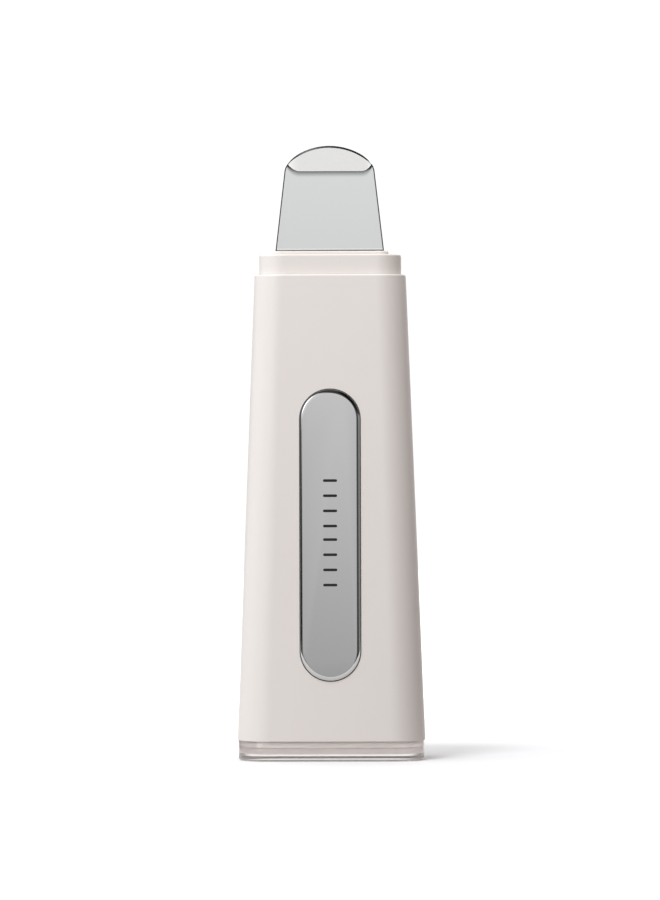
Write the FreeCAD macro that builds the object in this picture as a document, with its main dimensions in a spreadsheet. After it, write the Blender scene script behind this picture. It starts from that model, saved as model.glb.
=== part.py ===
import FreeCAD, Part

import math
import operator
import os
import Sketcher

from FreeCAD import Placement, Rotation, Vector

# An ultrasonic skin scrubber: a tapered upright handset with a bent steel blade on top.
# Units are millimetres.  +Z is up, and the origin is the middle of the underside of the clear base.
# The contact plate is on the -Y side (front), the power button and charging socket on the +Y side.

# ------------------------------------------------------------------ driving dimensions

SIZES = {
    # clear base and bottom cover
    "base_width": 49.8,
    "base_depth": 31.8,
    "base_height": 5.4,
    "base_floor": 1.75,
    "base_wall": 1.15,
    "base_round": 1.4,
    "base_corner": 8.35,
    "cover_step": 1.6,
    "cover_inset": 0.55,
    "cover_plug": 3.3,
    "cover_gap": 0.12,
    "seal_radius": 0.5,
    # tapered body shell
    "shell_height": 124.9,
    "width_bottom": 50.3,
    "width_top": 40.6,
    "depth_bottom": 32.2,
    "depth_top": 27.0,
    "corner_bottom": 8.5,
    "corner_top": 7.4,
    "shell_wall": 2.0,
    "edge_round": 0.45,
    # collar that a travel cap would slide over
    "collar_width": 38.1,
    "collar_depth": 24.3,
    "collar_corner": 6.4,
    "collar_rise": 5.4,
    "collar_seat": 3.6,
    "collar_gap": 0.1,
    "collar_wall": 1.6,
    "collar_top": 2.0,
    "collar_screw": 12.2,
    "boss_radius": 2.6,
    # grommet round the blade
    "grommet_width": 31.3,
    "grommet_depth": 7.8,
    "grommet_rise": 1.2,
    "grommet_corner": 2.2,
    "waist_width": 16.8,
    "waist_depth": 4.6,
    "waist_corner": 1.5,
    "lip_overhang": 1.0,
    "lip_height": 1.1,
    # blade
    "blade_thick": 0.9,
    "blade_width": 29.5,
    "blade_sunk": 0.9,
    "blade_rise": 22.0,
    "tip_width": 24.5,
    "tip_rise": 7.0,
    "tip_angle": 30.0,
    "tip_arc": 17.4,
    "tip_corner": 4.5,
    "bend_radius": 2.2,
    "blade_round": 0.2,
    "shank_width": 14.0,
    "shank_length": 14.0,
    # transducer stack
    "stack_radius": 7.5,
    "stack_start": 91.0,
    "back_mass_height": 10.2,
    "shim_thick": 0.2,
    "tab_x": 3.0,
    "tab_width": 2.2,
    "tab_reach": 4.0,
    "piezo_height": 3.0,
    "piezo_bore": 2.6,
    "flange_radius": 8.5,
    "flange_height": 2.4,
    "horn_height": 23.9,
    "jaw_height": 12.0,
    "jaw_depth": 9.0,
    "slot_depth": 10.0,
    "blade_screw_x": 3.6,
    "blade_screw_drop": 5.0,
    "bolt_radius": 2.0,
    "bolt_head_radius": 3.5,
    "bolt_head_height": 4.0,
    "bolt_length": 25.0,
    # rubber isolators and their saddles
    "isolator_radius": 9.3,
    "isolator_height": 5.0,
    "saddle_height": 7.0,
    "saddle_lip": 8.3,
    "saddle_width": 29.2,
    "saddle_depth": 10.6,
    "saddle_low": 91.5,
    "saddle_high": 110.6,
    "clamp_screw_x": 11.6,
    # chassis
    "spine_front": 3.2,
    "spine_thick": 1.6,
    "spine_width": 29.0,
    "floor_bottom": 8.6,
    "floor_thick": 3.1,
    "floor_width": 39.0,
    "floor_depth": 21.0,
    "floor_screw_x": 16.5,
    "floor_screw_y": 7.4,
    "window_width": 15.0,
    "window_bottom": 66.0,
    "window_top": 86.5,
    # battery
    "battery_radius": 7.1,
    "battery_length": 50.0,
    "battery_bottom": 13.6,
    "battery_y": -4.1,
    "battery_roll": 0.5,
    "battery_cap": 2.6,
    "strap_thick": 0.5,
    "strap_height": 6.0,
    "strap_foot": 5.0,
    "strap_low": 20.0,
    "strap_high": 50.0,
    # circuit board
    "board_back": 9.0,
    "board_thick": 1.6,
    "board_width": 27.0,
    "board_bottom": 13.0,
    "board_top": 88.0,
    "board_corner": 2.0,
    "board_screw_x": 11.2,
    "board_screw_inset": 3.4,
    "standoff_radius": 2.1,
    # contact plate
    "plate_width": 16.2,
    "plate_length": 78.1,
    "plate_middle": 60.5,
    "plate_gap": 0.12,
    "plate_recess": 1.0,
    "plate_thick": 1.25,
    "plate_bevel": 0.85,
    "plate_bevel_drop": 0.45,
    "gasket_thick": 0.2,
    "stud_spread": 52.0,
    "stud_radius": 1.2,
    "stud_length": 0.7,
    "nut_radius": 2.2,
    "nut_thick": 1.1,
    "terminal_thick": 0.3,
    "terminal_radius": 2.1,
    "terminal_width": 1.8,
    "terminal_reach": 5.0,
    # power button and its switch
    "button_middle": 76.0,
    "button_radius": 6.4,
    "button_gap": 0.12,
    "button_flange": 7.5,
    "button_flange_thick": 0.6,
    "button_back": 11.6,
    "button_height": 3.7,
    "button_bore": 4.9,
    "button_bore_depth": 2.2,
    "button_dish": 0.35,
    "button_edge": 0.4,
    "button_seal": 0.18,
    "trim_width": 1.0,
    "trim_recess": 0.6,
    "trim_proud": 0.2,
    "trim_edge": 0.25,
    "switch_side": 6.0,
    "switch_height": 1.9,
    "switch_leg": 0.8,
    "button_travel": 0.6,
    "stem_radius": 1.6,
    "stem_length": 1.1,
    # indicator lamps and their light guide
    "lamp_middle": 57.0,
    "lamp_pitch": 5.0,
    "guide_radius": 1.0,
    "guide_bar": 1.2,
    "guide_stand": 2.2,
    # charging socket
    "socket_middle": 21.0,
    "socket_width": 8.94,
    "socket_height": 3.16,
    "socket_corner": 1.45,
    "socket_depth": 6.3,
    "socket_skin": 0.3,
    "socket_gap": 0.2,
    "tongue_width": 6.6,
    "tongue_thick": 0.7,
    "tongue_reach": 5.3,
    "tongue_base": 1.6,
    # small electronics
    "chip_side": 7.0,
    "chip_height": 1.2,
    "chip_middle": 45.0,
    "chip_pin_reach": 1.0,
    "chip_pin_thick": 0.3,
    "core_width": 13.0,
    "core_depth": 8.0,
    "core_height": 12.0,
    "core_middle": 77.5,
    "core_yoke": 2.0,
    "core_leg": 4.8,
    "coil_wall": 2.0,
    "coil_gap": 0.3,
    "capacitor_radius": 2.5,
    "capacitor_height": 3.6,
    "capacitor_x": 10.4,
    "capacitor_z": 66.0,
    "mosfet_width": 6.0,
    "mosfet_height": 5.0,
    "mosfet_thick": 1.6,
    "mosfet_tab": 1.8,
    "mosfet_leg": 1.4,
    "mosfet_x": 8.5,
    "mosfet_z": 37.0,
    "lamp_width": 1.6,
    "lamp_height": 1.0,
    "lamp_thick": 0.8,
    # screws and wires
    "screw_radius": 1.0,
    "screw_head": 1.9,
    "screw_head_height": 1.2,
    "blade_screw_short": 1.0,
    "fit": 0.04,
    # how far a shape runs past the face that it cuts or joins
    "over": 1.0,
    "lead_radius": 0.55,
    "lead_x": 1.2,
    "lead_rise": 4.2,
}

doc = FreeCAD.newDocument("skin_scrubber")
sheet = doc.addObject("Spreadsheet::Sheet", "dims")
for row, (alias, size) in enumerate(SIZES.items(), start=1):
    sheet.set(f"A{row}", alias)
    sheet.set(f"B{row}", str(size))
    sheet.setAlias(f"B{row}", alias)
doc.recompute()

# ------------------------------------------------------------------ sizes as formulas


class Measure:
    """A length that knows its number now and its formula over the sheet."""

    SIGNS = {"+": operator.add, "-": operator.sub, "*": operator.mul, "/": operator.truediv}

    def __init__(self, number, text):
        self.number = float(number)
        self.text = text

    @classmethod
    def of(cls, value):
        return value if isinstance(value, cls) else cls(value, f"({float(value):.6f})")

    @classmethod
    def join(cls, left, sign, right):
        left, right = cls.of(left), cls.of(right)
        result = cls.SIGNS[sign](left.number, right.number)
        return cls(result, f"({left.text} {sign} {right.text})")

    def __add__(self, other):
        return Measure.join(self, "+", other)

    def __radd__(self, other):
        return Measure.join(other, "+", self)

    def __sub__(self, other):
        return Measure.join(self, "-", other)

    def __rsub__(self, other):
        return Measure.join(other, "-", self)

    def __mul__(self, other):
        return Measure.join(self, "*", other)

    def __rmul__(self, other):
        return Measure.join(other, "*", self)

    def __truediv__(self, other):
        return Measure.join(self, "/", other)

    def __neg__(self):
        return Measure.join(0, "-", self)


class Sheet:
    """Reads each cell of the sheet as a Measure, by its alias."""

    def __getattr__(self, alias):
        return Measure(sheet.get(alias), f"dims.{alias}")


d = Sheet()


def sine(angle):
    return Measure(math.sin(math.radians(angle.number)), f"sin({angle.text} * 1deg)")


def cosine(angle):
    return Measure(math.cos(math.radians(angle.number)), f"cos({angle.text} * 1deg)")


def arctangent(slope):
    return Measure(math.degrees(math.atan(slope.number)), f"(atan({slope.text}) / 1deg)")


def tie(item, path, value):
    """Bind one property of an object to a formula over the sheet."""
    item.setExpression(path, Measure.of(value).text)


def number(value):
    return Measure.of(value).number


# ------------------------------------------------------------------ primitives and booleans

ALONG = {
    "+Z": Rotation(),
    "-Z": Rotation(Vector(1, 0, 0), 180),
    "+Y": Rotation(Vector(1, 0, 0), -90),
    "-Y": Rotation(Vector(1, 0, 0), 90),
    "+X": Rotation(Vector(0, 1, 0), 90),
}


def put(item, place, along="+Z"):
    """Stand an object's own Z axis along a direction, with its origin at a place."""
    item.Placement = Placement(Vector(*[number(value) for value in place]), ALONG[along])
    for axis, value in zip("xyz", place):
        tie(item, f"Placement.Base.{axis}", value)
    return item


def block(name, sides, place):
    """A box: its sides, then the middle of its underside."""
    item = doc.addObject("Part::Box", name)
    for path, side in zip(("Length", "Width", "Height"), sides):
        tie(item, path, side)
    x, y, z = place
    return put(item, (x - sides[0] / 2, y - sides[1] / 2, z))


def rod(name, radius, length, place, along="+Z"):
    """A cylinder that starts at a place and runs along a direction."""
    item = doc.addObject("Part::Cylinder", name)
    tie(item, "Radius", radius)
    tie(item, "Height", length)
    return put(item, place, along)


def fuse(name, *pieces):
    item = doc.addObject("Part::MultiFuse", name)
    item.Shapes = list(pieces)
    item.Refine = True
    return item


def cut(name, base, *tools):
    item = doc.addObject("Part::Cut", name)
    item.Base = base
    item.Tool = tools[0] if len(tools) == 1 else fuse(f"{name}_tools", *tools)
    item.Refine = True
    return item


def group(name, *pieces):
    """Several separate solids that share one node."""
    item = doc.addObject("Part::Compound", name)
    item.Links = list(pieces)
    return item


# ------------------------------------------------------------------ bodies, sketches, features

def new_body(name):
    return doc.addObject("PartDesign::Body", name)


def new_sketch(body, name, plane, lift=0, x=0, y=0):
    """A sketch on one of its body's origin planes, lifted along the plane's normal."""
    sketch = body.newObject("Sketcher::SketchObject", f"{body.Name}_{name}")
    support = [item for item in body.Origin.OriginFeatures if item.Role == plane][0]
    sketch.AttachmentSupport = [(support, "")]
    sketch.MapMode = "FlatFace"
    for axis, value in (("x", x), ("y", y), ("z", lift)):
        tie(sketch, f"AttachmentOffset.Base.{axis}", value)
    return sketch


def lean_sketch(sketch, angle):
    """Lean a sketch back about its own X axis."""
    offset = sketch.AttachmentOffset
    offset.Rotation = Rotation(Vector(1, 0, 0), -number(angle))
    sketch.AttachmentOffset = offset
    tie(sketch, "AttachmentOffset.Rotation.Angle", -angle)
    return sketch


def fix_point(sketch, geometry, end, x, y):
    """Hold one point of a sketch at its coordinates."""
    for kind, value in (("DistanceX", x), ("DistanceY", y)):
        index = sketch.addConstraint(Sketcher.Constraint(kind, -1, 1, geometry, end, number(value)))
        tie(sketch, f"Constraints[{index}]", value)


def fix_radius(sketch, geometry, radius):
    index = sketch.addConstraint(Sketcher.Constraint("Radius", geometry, number(radius)))
    tie(sketch, f"Constraints[{index}]", radius)


def draw_polygon(sketch, points):
    """A closed outline of straight edges through fixed corners."""
    corners = [Vector(number(x), number(y), 0) for x, y in points]
    first = sketch.GeometryCount
    count = len(points)
    for index in range(count):
        sketch.addGeometry(Part.LineSegment(corners[index], corners[(index + 1) % count]), False)
    for index in range(count):
        following = first + (index + 1) % count
        sketch.addConstraint(Sketcher.Constraint("Coincident", first + index, 2, following, 1))
    for index, (x, y) in enumerate(points):
        fix_point(sketch, first + index, 1, x, y)
    return sketch


def draw_circle(sketch, radius, x=0, y=0):
    circle = Part.Circle(Vector(number(x), number(y), 0), Vector(0, 0, 1), number(radius))
    index = sketch.addGeometry(circle, False)
    fix_point(sketch, index, 3, x, y)
    fix_radius(sketch, index, radius)
    return sketch


def draw_hull(sketch, ends):
    """Arcs joined by tangent lines: each end is (x, y, radius), counter-clockwise."""
    first = sketch.GeometryCount
    count = len(ends)
    half_turn = math.pi / count
    upright = count == 2 and number(ends[0][0]) == number(ends[1][0])
    start = 0 if upright else -math.pi / 2
    arcs = []
    for index, (x, y, radius) in enumerate(ends):
        low = start + index * 2 * half_turn
        circle = Part.Circle(Vector(number(x), number(y), 0), Vector(0, 0, 1), number(radius))
        arcs.append(Part.ArcOfCircle(circle, low, low + 2 * half_turn))
    for index, arc in enumerate(arcs):
        sketch.addGeometry(arc, False)
        following = arcs[(index + 1) % count]
        sketch.addGeometry(Part.LineSegment(arc.EndPoint, following.StartPoint), False)
    for index, (x, y, radius) in enumerate(ends):
        arc, line = first + 2 * index, first + 2 * index + 1
        following = first + (2 * index + 2) % (2 * count)
        sketch.addConstraint(Sketcher.Constraint("Tangent", arc, 2, line, 1))
        sketch.addConstraint(Sketcher.Constraint("Tangent", line, 2, following, 1))
        fix_point(sketch, arc, 3, x, y)
        fix_radius(sketch, arc, radius)
    return sketch


def draw_rectangle(sketch, width, depth, corner):
    """A rectangle with round corners, centred on the sketch's origin."""
    x, y = width / 2 - corner, depth / 2 - corner
    return draw_hull(sketch, [(x, -y, corner), (x, y, corner), (-x, y, corner), (-x, -y, corner)])


def draw_pill(sketch, width, length):
    """An upright pill with full round ends, centred on the sketch's origin."""
    reach = length / 2 - width / 2
    return draw_hull(sketch, [(0, reach, width / 2), (0, -reach, width / 2)])


def pad(sketch, length, symmetric=False, backwards=False):
    body = sketch.getParentGeoFeatureGroup()
    feature = body.newObject("PartDesign::Pad", f"{sketch.Name}_pad")
    feature.Profile = sketch
    feature.SideType = "Symmetric" if symmetric else "One side"
    feature.Reversed = backwards
    tie(feature, "Length", length)
    return feature


def carve(kind, sketch, setting):
    """Add a feature that removes material, and stop if it removes none."""
    body = sketch.getParentGeoFeatureGroup()
    doc.recompute()
    before = body.Shape.Volume
    feature = body.newObject(f"PartDesign::{kind}", f"{sketch.Name}_{kind.lower()}")
    setting(feature)
    doc.recompute()
    if not body.Shape.Volume < before - 1e-6:
        raise RuntimeError(f"{feature.Name} removes nothing")
    return feature


def pocket(sketch, depth=None, backwards=False, symmetric=False):
    """Cut a sketch into its body, through everything if no depth is given."""
    def setting(feature):
        feature.Profile = sketch
        feature.Reversed = backwards
        feature.SideType = "Symmetric" if symmetric else "One side"
        feature.Type = "ThroughAll" if depth is None else "Length"
        if depth is not None:
            tie(feature, "Length", depth)
    return carve("Pocket", sketch, setting)


def loft(sketch, other):
    body = sketch.getParentGeoFeatureGroup()
    feature = body.newObject("PartDesign::AdditiveLoft", f"{sketch.Name}_loft")
    feature.Profile = sketch
    feature.Sections = [other]
    feature.Ruled = True
    return feature


def hollow_loft(sketch, other):
    def setting(feature):
        feature.Profile = sketch
        feature.Sections = [other]
        feature.Ruled = True
    return carve("SubtractiveLoft", sketch, setting)


def edges_where(body, wanted):
    """The names of the body's edges that pass a test."""
    doc.recompute()
    edges = body.Shape.Edges
    return [f"Edge{index}" for index, edge in enumerate(edges, start=1) if wanted(edge)]


def level(height):
    """A test for edges that lie flat at one height."""
    def wanted(edge):
        box = edge.BoundBox
        return abs(box.ZMin - number(height)) < 0.01 and abs(box.ZMax - number(height)) < 0.01
    return wanted


def round_edges(body, wanted, radius):
    names = edges_where(body, wanted)
    base = body.Tip
    feature = body.newObject("PartDesign::Fillet", f"{body.Name}_round_{len(body.Group)}")
    feature.Base = (base, names)
    tie(feature, "Radius", radius)
    doc.recompute()
    if "Invalid" in feature.State:
        raise RuntimeError(f"{feature.Name} failed on {names}")
    return feature


def turned(name, points):
    """A body turned about its own Z axis from (radius, height) corners."""
    body = new_body(name)
    sketch = draw_polygon(new_sketch(body, "profile", "XZ_Plane"), points)
    feature = body.newObject("PartDesign::Revolution", f"{name}_turn")
    feature.Profile = sketch
    feature.ReferenceAxis = (sketch, ["V_Axis"])
    feature.Angle = 360
    return body


def ring(name, inner, outer, height, place, along="+Z"):
    """A plain ring that starts at a place and runs along a direction."""
    corners = [(inner, 0), (outer, 0), (outer, height), (inner, height)]
    return put(turned(name, corners), place, along)


# ------------------------------------------------------------------ shared places

def half_depth(z):
    """Half the shell's outer depth at a height."""
    return d.depth_bottom / 2 - (d.depth_bottom - d.depth_top) / 2 * (z - d.base_height) / d.shell_height


LEAN = arctangent((d.depth_bottom - d.depth_top) / 2 / d.shell_height)
SHELL_TOP = d.base_height + d.shell_height
COLLAR_TOP = SHELL_TOP + d.collar_rise
COLLAR_FOOT = SHELL_TOP - d.collar_seat
CEILING = COLLAR_TOP - d.collar_top
GROMMET_TOP = COLLAR_TOP + d.grommet_rise
BLADE_FOOT = GROMMET_TOP - d.blade_sunk
GROUND_SHIM_FOOT = d.stack_start + d.back_mass_height
LOWER_PIEZO_FOOT = GROUND_SHIM_FOOT + d.shim_thick
HOT_SHIM_FOOT = LOWER_PIEZO_FOOT + d.piezo_height
UPPER_PIEZO_FOOT = HOT_SHIM_FOOT + d.shim_thick
HORN_FOOT = UPPER_PIEZO_FOOT + d.piezo_height
HORN_TOP = HORN_FOOT + d.horn_height
BLADE_SCREW_Z = HORN_TOP - d.blade_screw_drop
BOARD_FRONT = d.board_back - d.board_thick
SPINE_BACK = d.spine_front + d.spine_thick
FLOOR_TOP = d.floor_bottom + d.floor_thick
COVER_TOP = d.base_height + d.cover_plug
PLATE_FACE_Y = -half_depth(d.plate_middle)


def screw(name, length, place, along, radius=None, head=None):
    """A cross-slotted screw: the shank runs along a direction from under its head."""
    radius = radius or d.screw_radius
    head = head or d.screw_head
    height = d.screw_head_height
    corners = [(0, 0), (radius, 0), (radius, length), (0, length)]
    corners = [(0, -height), (head * 0.8, -height), (head, -height * 0.6), (head, 0)] + corners[1:]
    blank = turned(f"{name}_blank", corners)
    slots = [
        block(f"{name}_slot_a", (head * 1.2, head * 0.22, height * 0.7), (0, 0, -height * 1.1)),
        block(f"{name}_slot_b", (head * 0.22, head * 1.2, height * 0.7), (0, 0, -height * 1.1)),
    ]
    return put(cut(name, blank, *slots), place, along)


# ------------------------------------------------------------------ casing

def make_clear_base():
    """The clear foot: a shallow tray whose pocket holds the stepped bottom cover."""
    body = new_body("clear_base")
    outline = new_sketch(body, "outline", "XY_Plane")
    pad(draw_rectangle(outline, d.base_width, d.base_depth, d.base_corner), d.base_height)
    inside = new_sketch(body, "inside", "XY_Plane", d.base_height)
    draw_rectangle(inside, d.base_width - 2 * d.base_wall, d.base_depth - 2 * d.base_wall,
                   d.base_corner - d.base_wall)
    pocket(inside, d.base_height - d.base_floor)
    round_edges(body, level(0), d.base_round)
    return body


def make_bottom_cover():
    """The opaque cover: two steps inside the clear foot and a hollow plug up into the shell."""
    body = new_body("bottom_cover")
    pocket_width = d.base_width - 2 * d.base_wall - 2 * d.cover_gap
    pocket_depth = d.base_depth - 2 * d.base_wall - 2 * d.cover_gap
    corner = d.base_corner - d.base_wall - d.cover_gap
    lower = new_sketch(body, "lower", "XY_Plane", d.base_floor)
    draw_rectangle(lower, pocket_width - 2 * d.cover_inset, pocket_depth - 2 * d.cover_inset,
                   corner - d.cover_inset)
    pad(lower, d.cover_step)
    upper = new_sketch(body, "upper", "XY_Plane", d.base_floor + d.cover_step)
    draw_rectangle(upper, pocket_width, pocket_depth, corner)
    pad(upper, d.base_height - d.base_floor - d.cover_step)
    inner_width = d.width_bottom - 2 * d.shell_wall - 4 * d.cover_gap
    inner_depth = d.depth_bottom - 2 * d.shell_wall - 4 * d.cover_gap
    inner_corner = d.corner_bottom - d.shell_wall - 2 * d.cover_gap
    plug = new_sketch(body, "plug", "XY_Plane", d.base_height)
    draw_rectangle(plug, inner_width, inner_depth, inner_corner)
    pad(plug, d.cover_plug)
    inside = new_sketch(body, "inside", "XY_Plane", COVER_TOP)
    draw_rectangle(inside, inner_width - 2 * d.shell_wall, inner_depth - 2 * d.shell_wall,
                   inner_corner - d.shell_wall)
    pocket(inside, d.cover_plug)
    bosses = new_sketch(body, "bosses", "XY_Plane", d.base_height)
    for x, y in floor_screw_places():
        draw_circle(bosses, d.boss_radius, x, y)
    pad(bosses, d.floor_bottom - d.base_height)
    for name, radius, depth in (("shank", d.screw_radius + d.fit, None),
                                ("head", d.screw_head + d.fit, d.screw_head_height + d.cover_gap)):
        holes = new_sketch(body, name, "XY_Plane", d.base_floor)
        for x, y in floor_screw_places():
            draw_circle(holes, radius, x, y)
        pocket(holes, depth, backwards=True)
    return body


def floor_screw_places():
    x, y = d.floor_screw_x, d.floor_screw_y
    return [(x, y), (-x, y), (-x, -y), (x, -y)]


def make_base_seal():
    """A soft bead round the plug, which closes the seam between the cover and the shell."""
    body = new_body("base_seal")
    gap = 2 * d.cover_gap
    outline = new_sketch(body, "outline", "XY_Plane", d.base_height + d.seal_radius)
    draw_rectangle(outline, d.width_bottom - 2 * d.shell_wall - gap, d.depth_bottom - 2 * d.shell_wall - gap,
                   d.corner_bottom - d.shell_wall - d.cover_gap)
    draw_rectangle(outline, d.width_bottom - 2 * d.shell_wall - 2 * gap,
                   d.depth_bottom - 2 * d.shell_wall - 2 * gap, d.corner_bottom - d.shell_wall - gap)
    pad(outline, 2 * d.seal_radius)
    return body


def make_body_shell():
    """The one-piece tapered housing, with its openings front and back."""
    body = new_body("body_shell")
    foot = new_sketch(body, "foot", "XY_Plane", d.base_height)
    draw_rectangle(foot, d.width_bottom, d.depth_bottom, d.corner_bottom)
    head = new_sketch(body, "head", "XY_Plane", SHELL_TOP)
    draw_rectangle(head, d.width_top, d.depth_top, d.corner_top)
    loft(foot, head)
    wall = 2 * d.shell_wall
    foot = new_sketch(body, "inner_foot", "XY_Plane", d.base_height)
    draw_rectangle(foot, d.width_bottom - wall, d.depth_bottom - wall, d.corner_bottom - d.shell_wall)
    head = new_sketch(body, "inner_head", "XY_Plane", SHELL_TOP)
    draw_rectangle(head, d.width_top - wall, d.depth_top - wall, d.corner_top - d.shell_wall)
    hollow_loft(foot, head)
    seat = new_sketch(body, "seat", "XY_Plane", SHELL_TOP)
    draw_rectangle(seat, d.collar_width + 2 * d.collar_gap, d.collar_depth + 2 * d.collar_gap,
                   d.collar_corner + d.collar_gap)
    pocket(seat, d.collar_seat)
    round_edges(body, outer_loop(body, SHELL_TOP), d.edge_round)
    cut_plate_openings(body)
    cut_back_openings(body)
    return body


def outer_loop(body, height):
    """A test for the outer edges of the flat face at one height."""
    doc.recompute()
    faces = [face for face in body.Shape.Faces if level(height)(face)]
    outline = max(faces, key=lambda face: face.BoundBox.XLength).OuterWire
    return lambda edge: any(edge.isSame(other) for other in outline.Edges)


def front_sketch(body, name, lift):
    """A sketch that lies along the leaning front face, lifted outwards from it."""
    sketch = new_sketch(body, name, "XZ_Plane", -PLATE_FACE_Y + lift, y=d.plate_middle)
    return lean_sketch(sketch, LEAN)


def cut_plate_openings(body):
    recess = front_sketch(body, "plate_recess", 0)
    draw_pill(recess, d.plate_width + 2 * d.plate_gap, d.plate_length + 2 * d.plate_gap)
    pocket(recess, d.plate_recess)
    holes = front_sketch(body, "stud_holes", 0)
    for side in (1, -1):
        draw_circle(holes, d.stud_radius + d.fit, 0, side * d.stud_spread / 2)
    pocket(holes, d.shell_wall * 2)


def cut_back_openings(body):
    """The button bore, its trim's seat, the lamp holes and the charging slot."""
    bore = new_sketch(body, "button_bore", "XZ_Plane")
    draw_circle(bore, d.button_radius + d.button_gap, 0, d.button_middle)
    pocket(bore)
    seat = new_sketch(body, "trim_seat", "XZ_Plane", d.trim_recess - half_depth(d.button_middle))
    draw_circle(seat, d.button_radius + d.button_gap + d.trim_width, 0, d.button_middle)
    pocket(seat)
    lamps = new_sketch(body, "lamp_holes", "XZ_Plane")
    for step in (-1, 0, 1):
        draw_circle(lamps, d.guide_radius + d.fit, 0, d.lamp_middle + step * d.lamp_pitch)
    pocket(lamps)
    slot = new_sketch(body, "charging_slot", "XZ_Plane", y=d.socket_middle)
    draw_rectangle(slot, d.socket_width + 2 * d.socket_gap, d.socket_height + 2 * d.socket_gap,
                   d.socket_corner + d.socket_gap)
    pocket(slot)


def make_collar():
    """The raised ring on top that a travel cap would slide over."""
    body = new_body("cap_collar")
    outline = new_sketch(body, "outline", "XY_Plane", COLLAR_FOOT)
    draw_rectangle(outline, d.collar_width, d.collar_depth, d.collar_corner)
    pad(outline, d.collar_seat + d.collar_rise)
    inside = new_sketch(body, "inside", "XY_Plane", COLLAR_FOOT)
    draw_rectangle(inside, d.collar_width - 2 * d.collar_wall, d.collar_depth - 2 * d.collar_wall,
                   d.collar_corner - d.collar_wall)
    pocket(inside, d.collar_seat + d.collar_rise - d.collar_top, backwards=True)
    bosses = new_sketch(body, "bosses", "XY_Plane", COLLAR_FOOT)
    for side in (1, -1):
        draw_circle(bosses, d.boss_radius, side * d.collar_screw, 0)
    pad(bosses, CEILING - COLLAR_FOOT)
    slot = new_sketch(body, "slot", "XY_Plane", COLLAR_TOP)
    draw_rectangle(slot, d.waist_width + 2 * d.fit, d.waist_depth + 2 * d.fit, d.waist_corner + d.fit)
    pocket(slot)
    for name, radius, depth in (("shank", d.screw_radius + d.fit, None),
                                ("head", d.screw_head + d.fit, d.screw_head_height + d.fit)):
        holes = new_sketch(body, name, "XY_Plane", COLLAR_TOP)
        for side in (1, -1):
            draw_circle(holes, radius, side * d.collar_screw, 0)
        pocket(holes, depth)
    round_edges(body, outer_loop(body, COLLAR_TOP), d.edge_round)
    return body


def make_grommet():
    """The soft plug that seals the blade's way out: flange, waist and lower lip."""
    body = new_body("blade_grommet")
    flange = new_sketch(body, "flange", "XY_Plane", COLLAR_TOP)
    draw_rectangle(flange, d.grommet_width, d.grommet_depth, d.grommet_corner)
    pad(flange, d.grommet_rise)
    waist = new_sketch(body, "waist", "XY_Plane", COLLAR_TOP)
    draw_rectangle(waist, d.waist_width, d.waist_depth, d.waist_corner)
    pad(waist, d.collar_top, backwards=True)
    lip = new_sketch(body, "lip", "XY_Plane", CEILING)
    draw_rectangle(lip, d.waist_width + 2 * d.lip_overhang, d.waist_depth + 2 * d.lip_overhang,
                   d.waist_corner + d.lip_overhang)
    pad(lip, d.lip_height, backwards=True)
    seat = new_sketch(body, "blade_seat", "XY_Plane", GROMMET_TOP)
    half_width, half_thick = d.blade_width / 2 + d.fit, d.blade_thick / 2 + d.fit
    draw_polygon(seat, centred_corners(half_width, half_thick))
    pocket(seat, d.blade_sunk + d.fit)
    slot = new_sketch(body, "shank_slot", "XY_Plane", GROMMET_TOP)
    draw_polygon(slot, centred_corners(d.shank_width / 2 + d.fit, half_thick))
    pocket(slot)
    round_edges(body, outer_loop(body, GROMMET_TOP), d.edge_round)
    return body


def centred_corners(x, y):
    return [(-x, -y), (x, -y), (x, y), (-x, y)]


# ------------------------------------------------------------------ blade

def make_blade():
    """A flat steel strip, bent forwards near its top and cut to a tapered outline."""
    body = new_body("blade")
    half = d.blade_thick / 2
    bend = BLADE_FOOT + d.blade_rise
    apex = bend + d.tip_rise
    tip = (d.tip_rise - d.blade_thick * sine(d.tip_angle)) / cosine(d.tip_angle)
    front_y = -half - tip * sine(d.tip_angle)
    front_z = bend + tip * cosine(d.tip_angle)
    back_y = front_y + d.blade_thick * cosine(d.tip_angle)
    back_bend = bend + d.blade_thick * (1 - cosine(d.tip_angle)) / sine(d.tip_angle)
    foot = BLADE_FOOT - d.shank_length
    side = new_sketch(body, "side", "YZ_Plane")
    draw_polygon(side, [(-half, foot), (half, foot), (half, back_bend), (back_y, apex),
                        (front_y, front_z), (-half, bend)])
    pad(side, d.blade_width + 4 * d.over, symmetric=True)
    for name, y, z, radius in (("inside", -half, bend, d.bend_radius),
                               ("outside", half, back_bend, d.bend_radius + d.blade_thick)):
        round_edges(body, bend_edge(y, z), radius)
    outline = new_sketch(body, "outline", "XZ_Plane")
    beyond = d.blade_thick
    draw_polygon(outline, [(-d.blade_width, foot - beyond), (d.blade_width, foot - beyond),
                           (d.blade_width, apex + beyond), (-d.blade_width, apex + beyond)])
    draw_blade_front(outline, foot, apex)
    pocket(outline, 2 * d.blade_width, symmetric=True)
    round_edges(body, blade_rim(bend), d.blade_round)
    return body


def bend_edge(y, z):
    def wanted(edge):
        middle = edge.BoundBox.Center
        return abs(middle.y - number(y)) < 0.01 and abs(middle.z - number(z)) < 0.01
    return wanted


def blade_rim(bend):
    """A test for the long edges round the blade's wide part, but not across its bend."""
    def wanted(edge):
        box = edge.BoundBox
        above = box.ZMin > number(BLADE_FOOT) - 0.01
        across = box.ZLength < 0.01
        through = edge.Length < number(d.blade_thick) * 1.3
        return above and not across and not through
    return wanted


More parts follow.
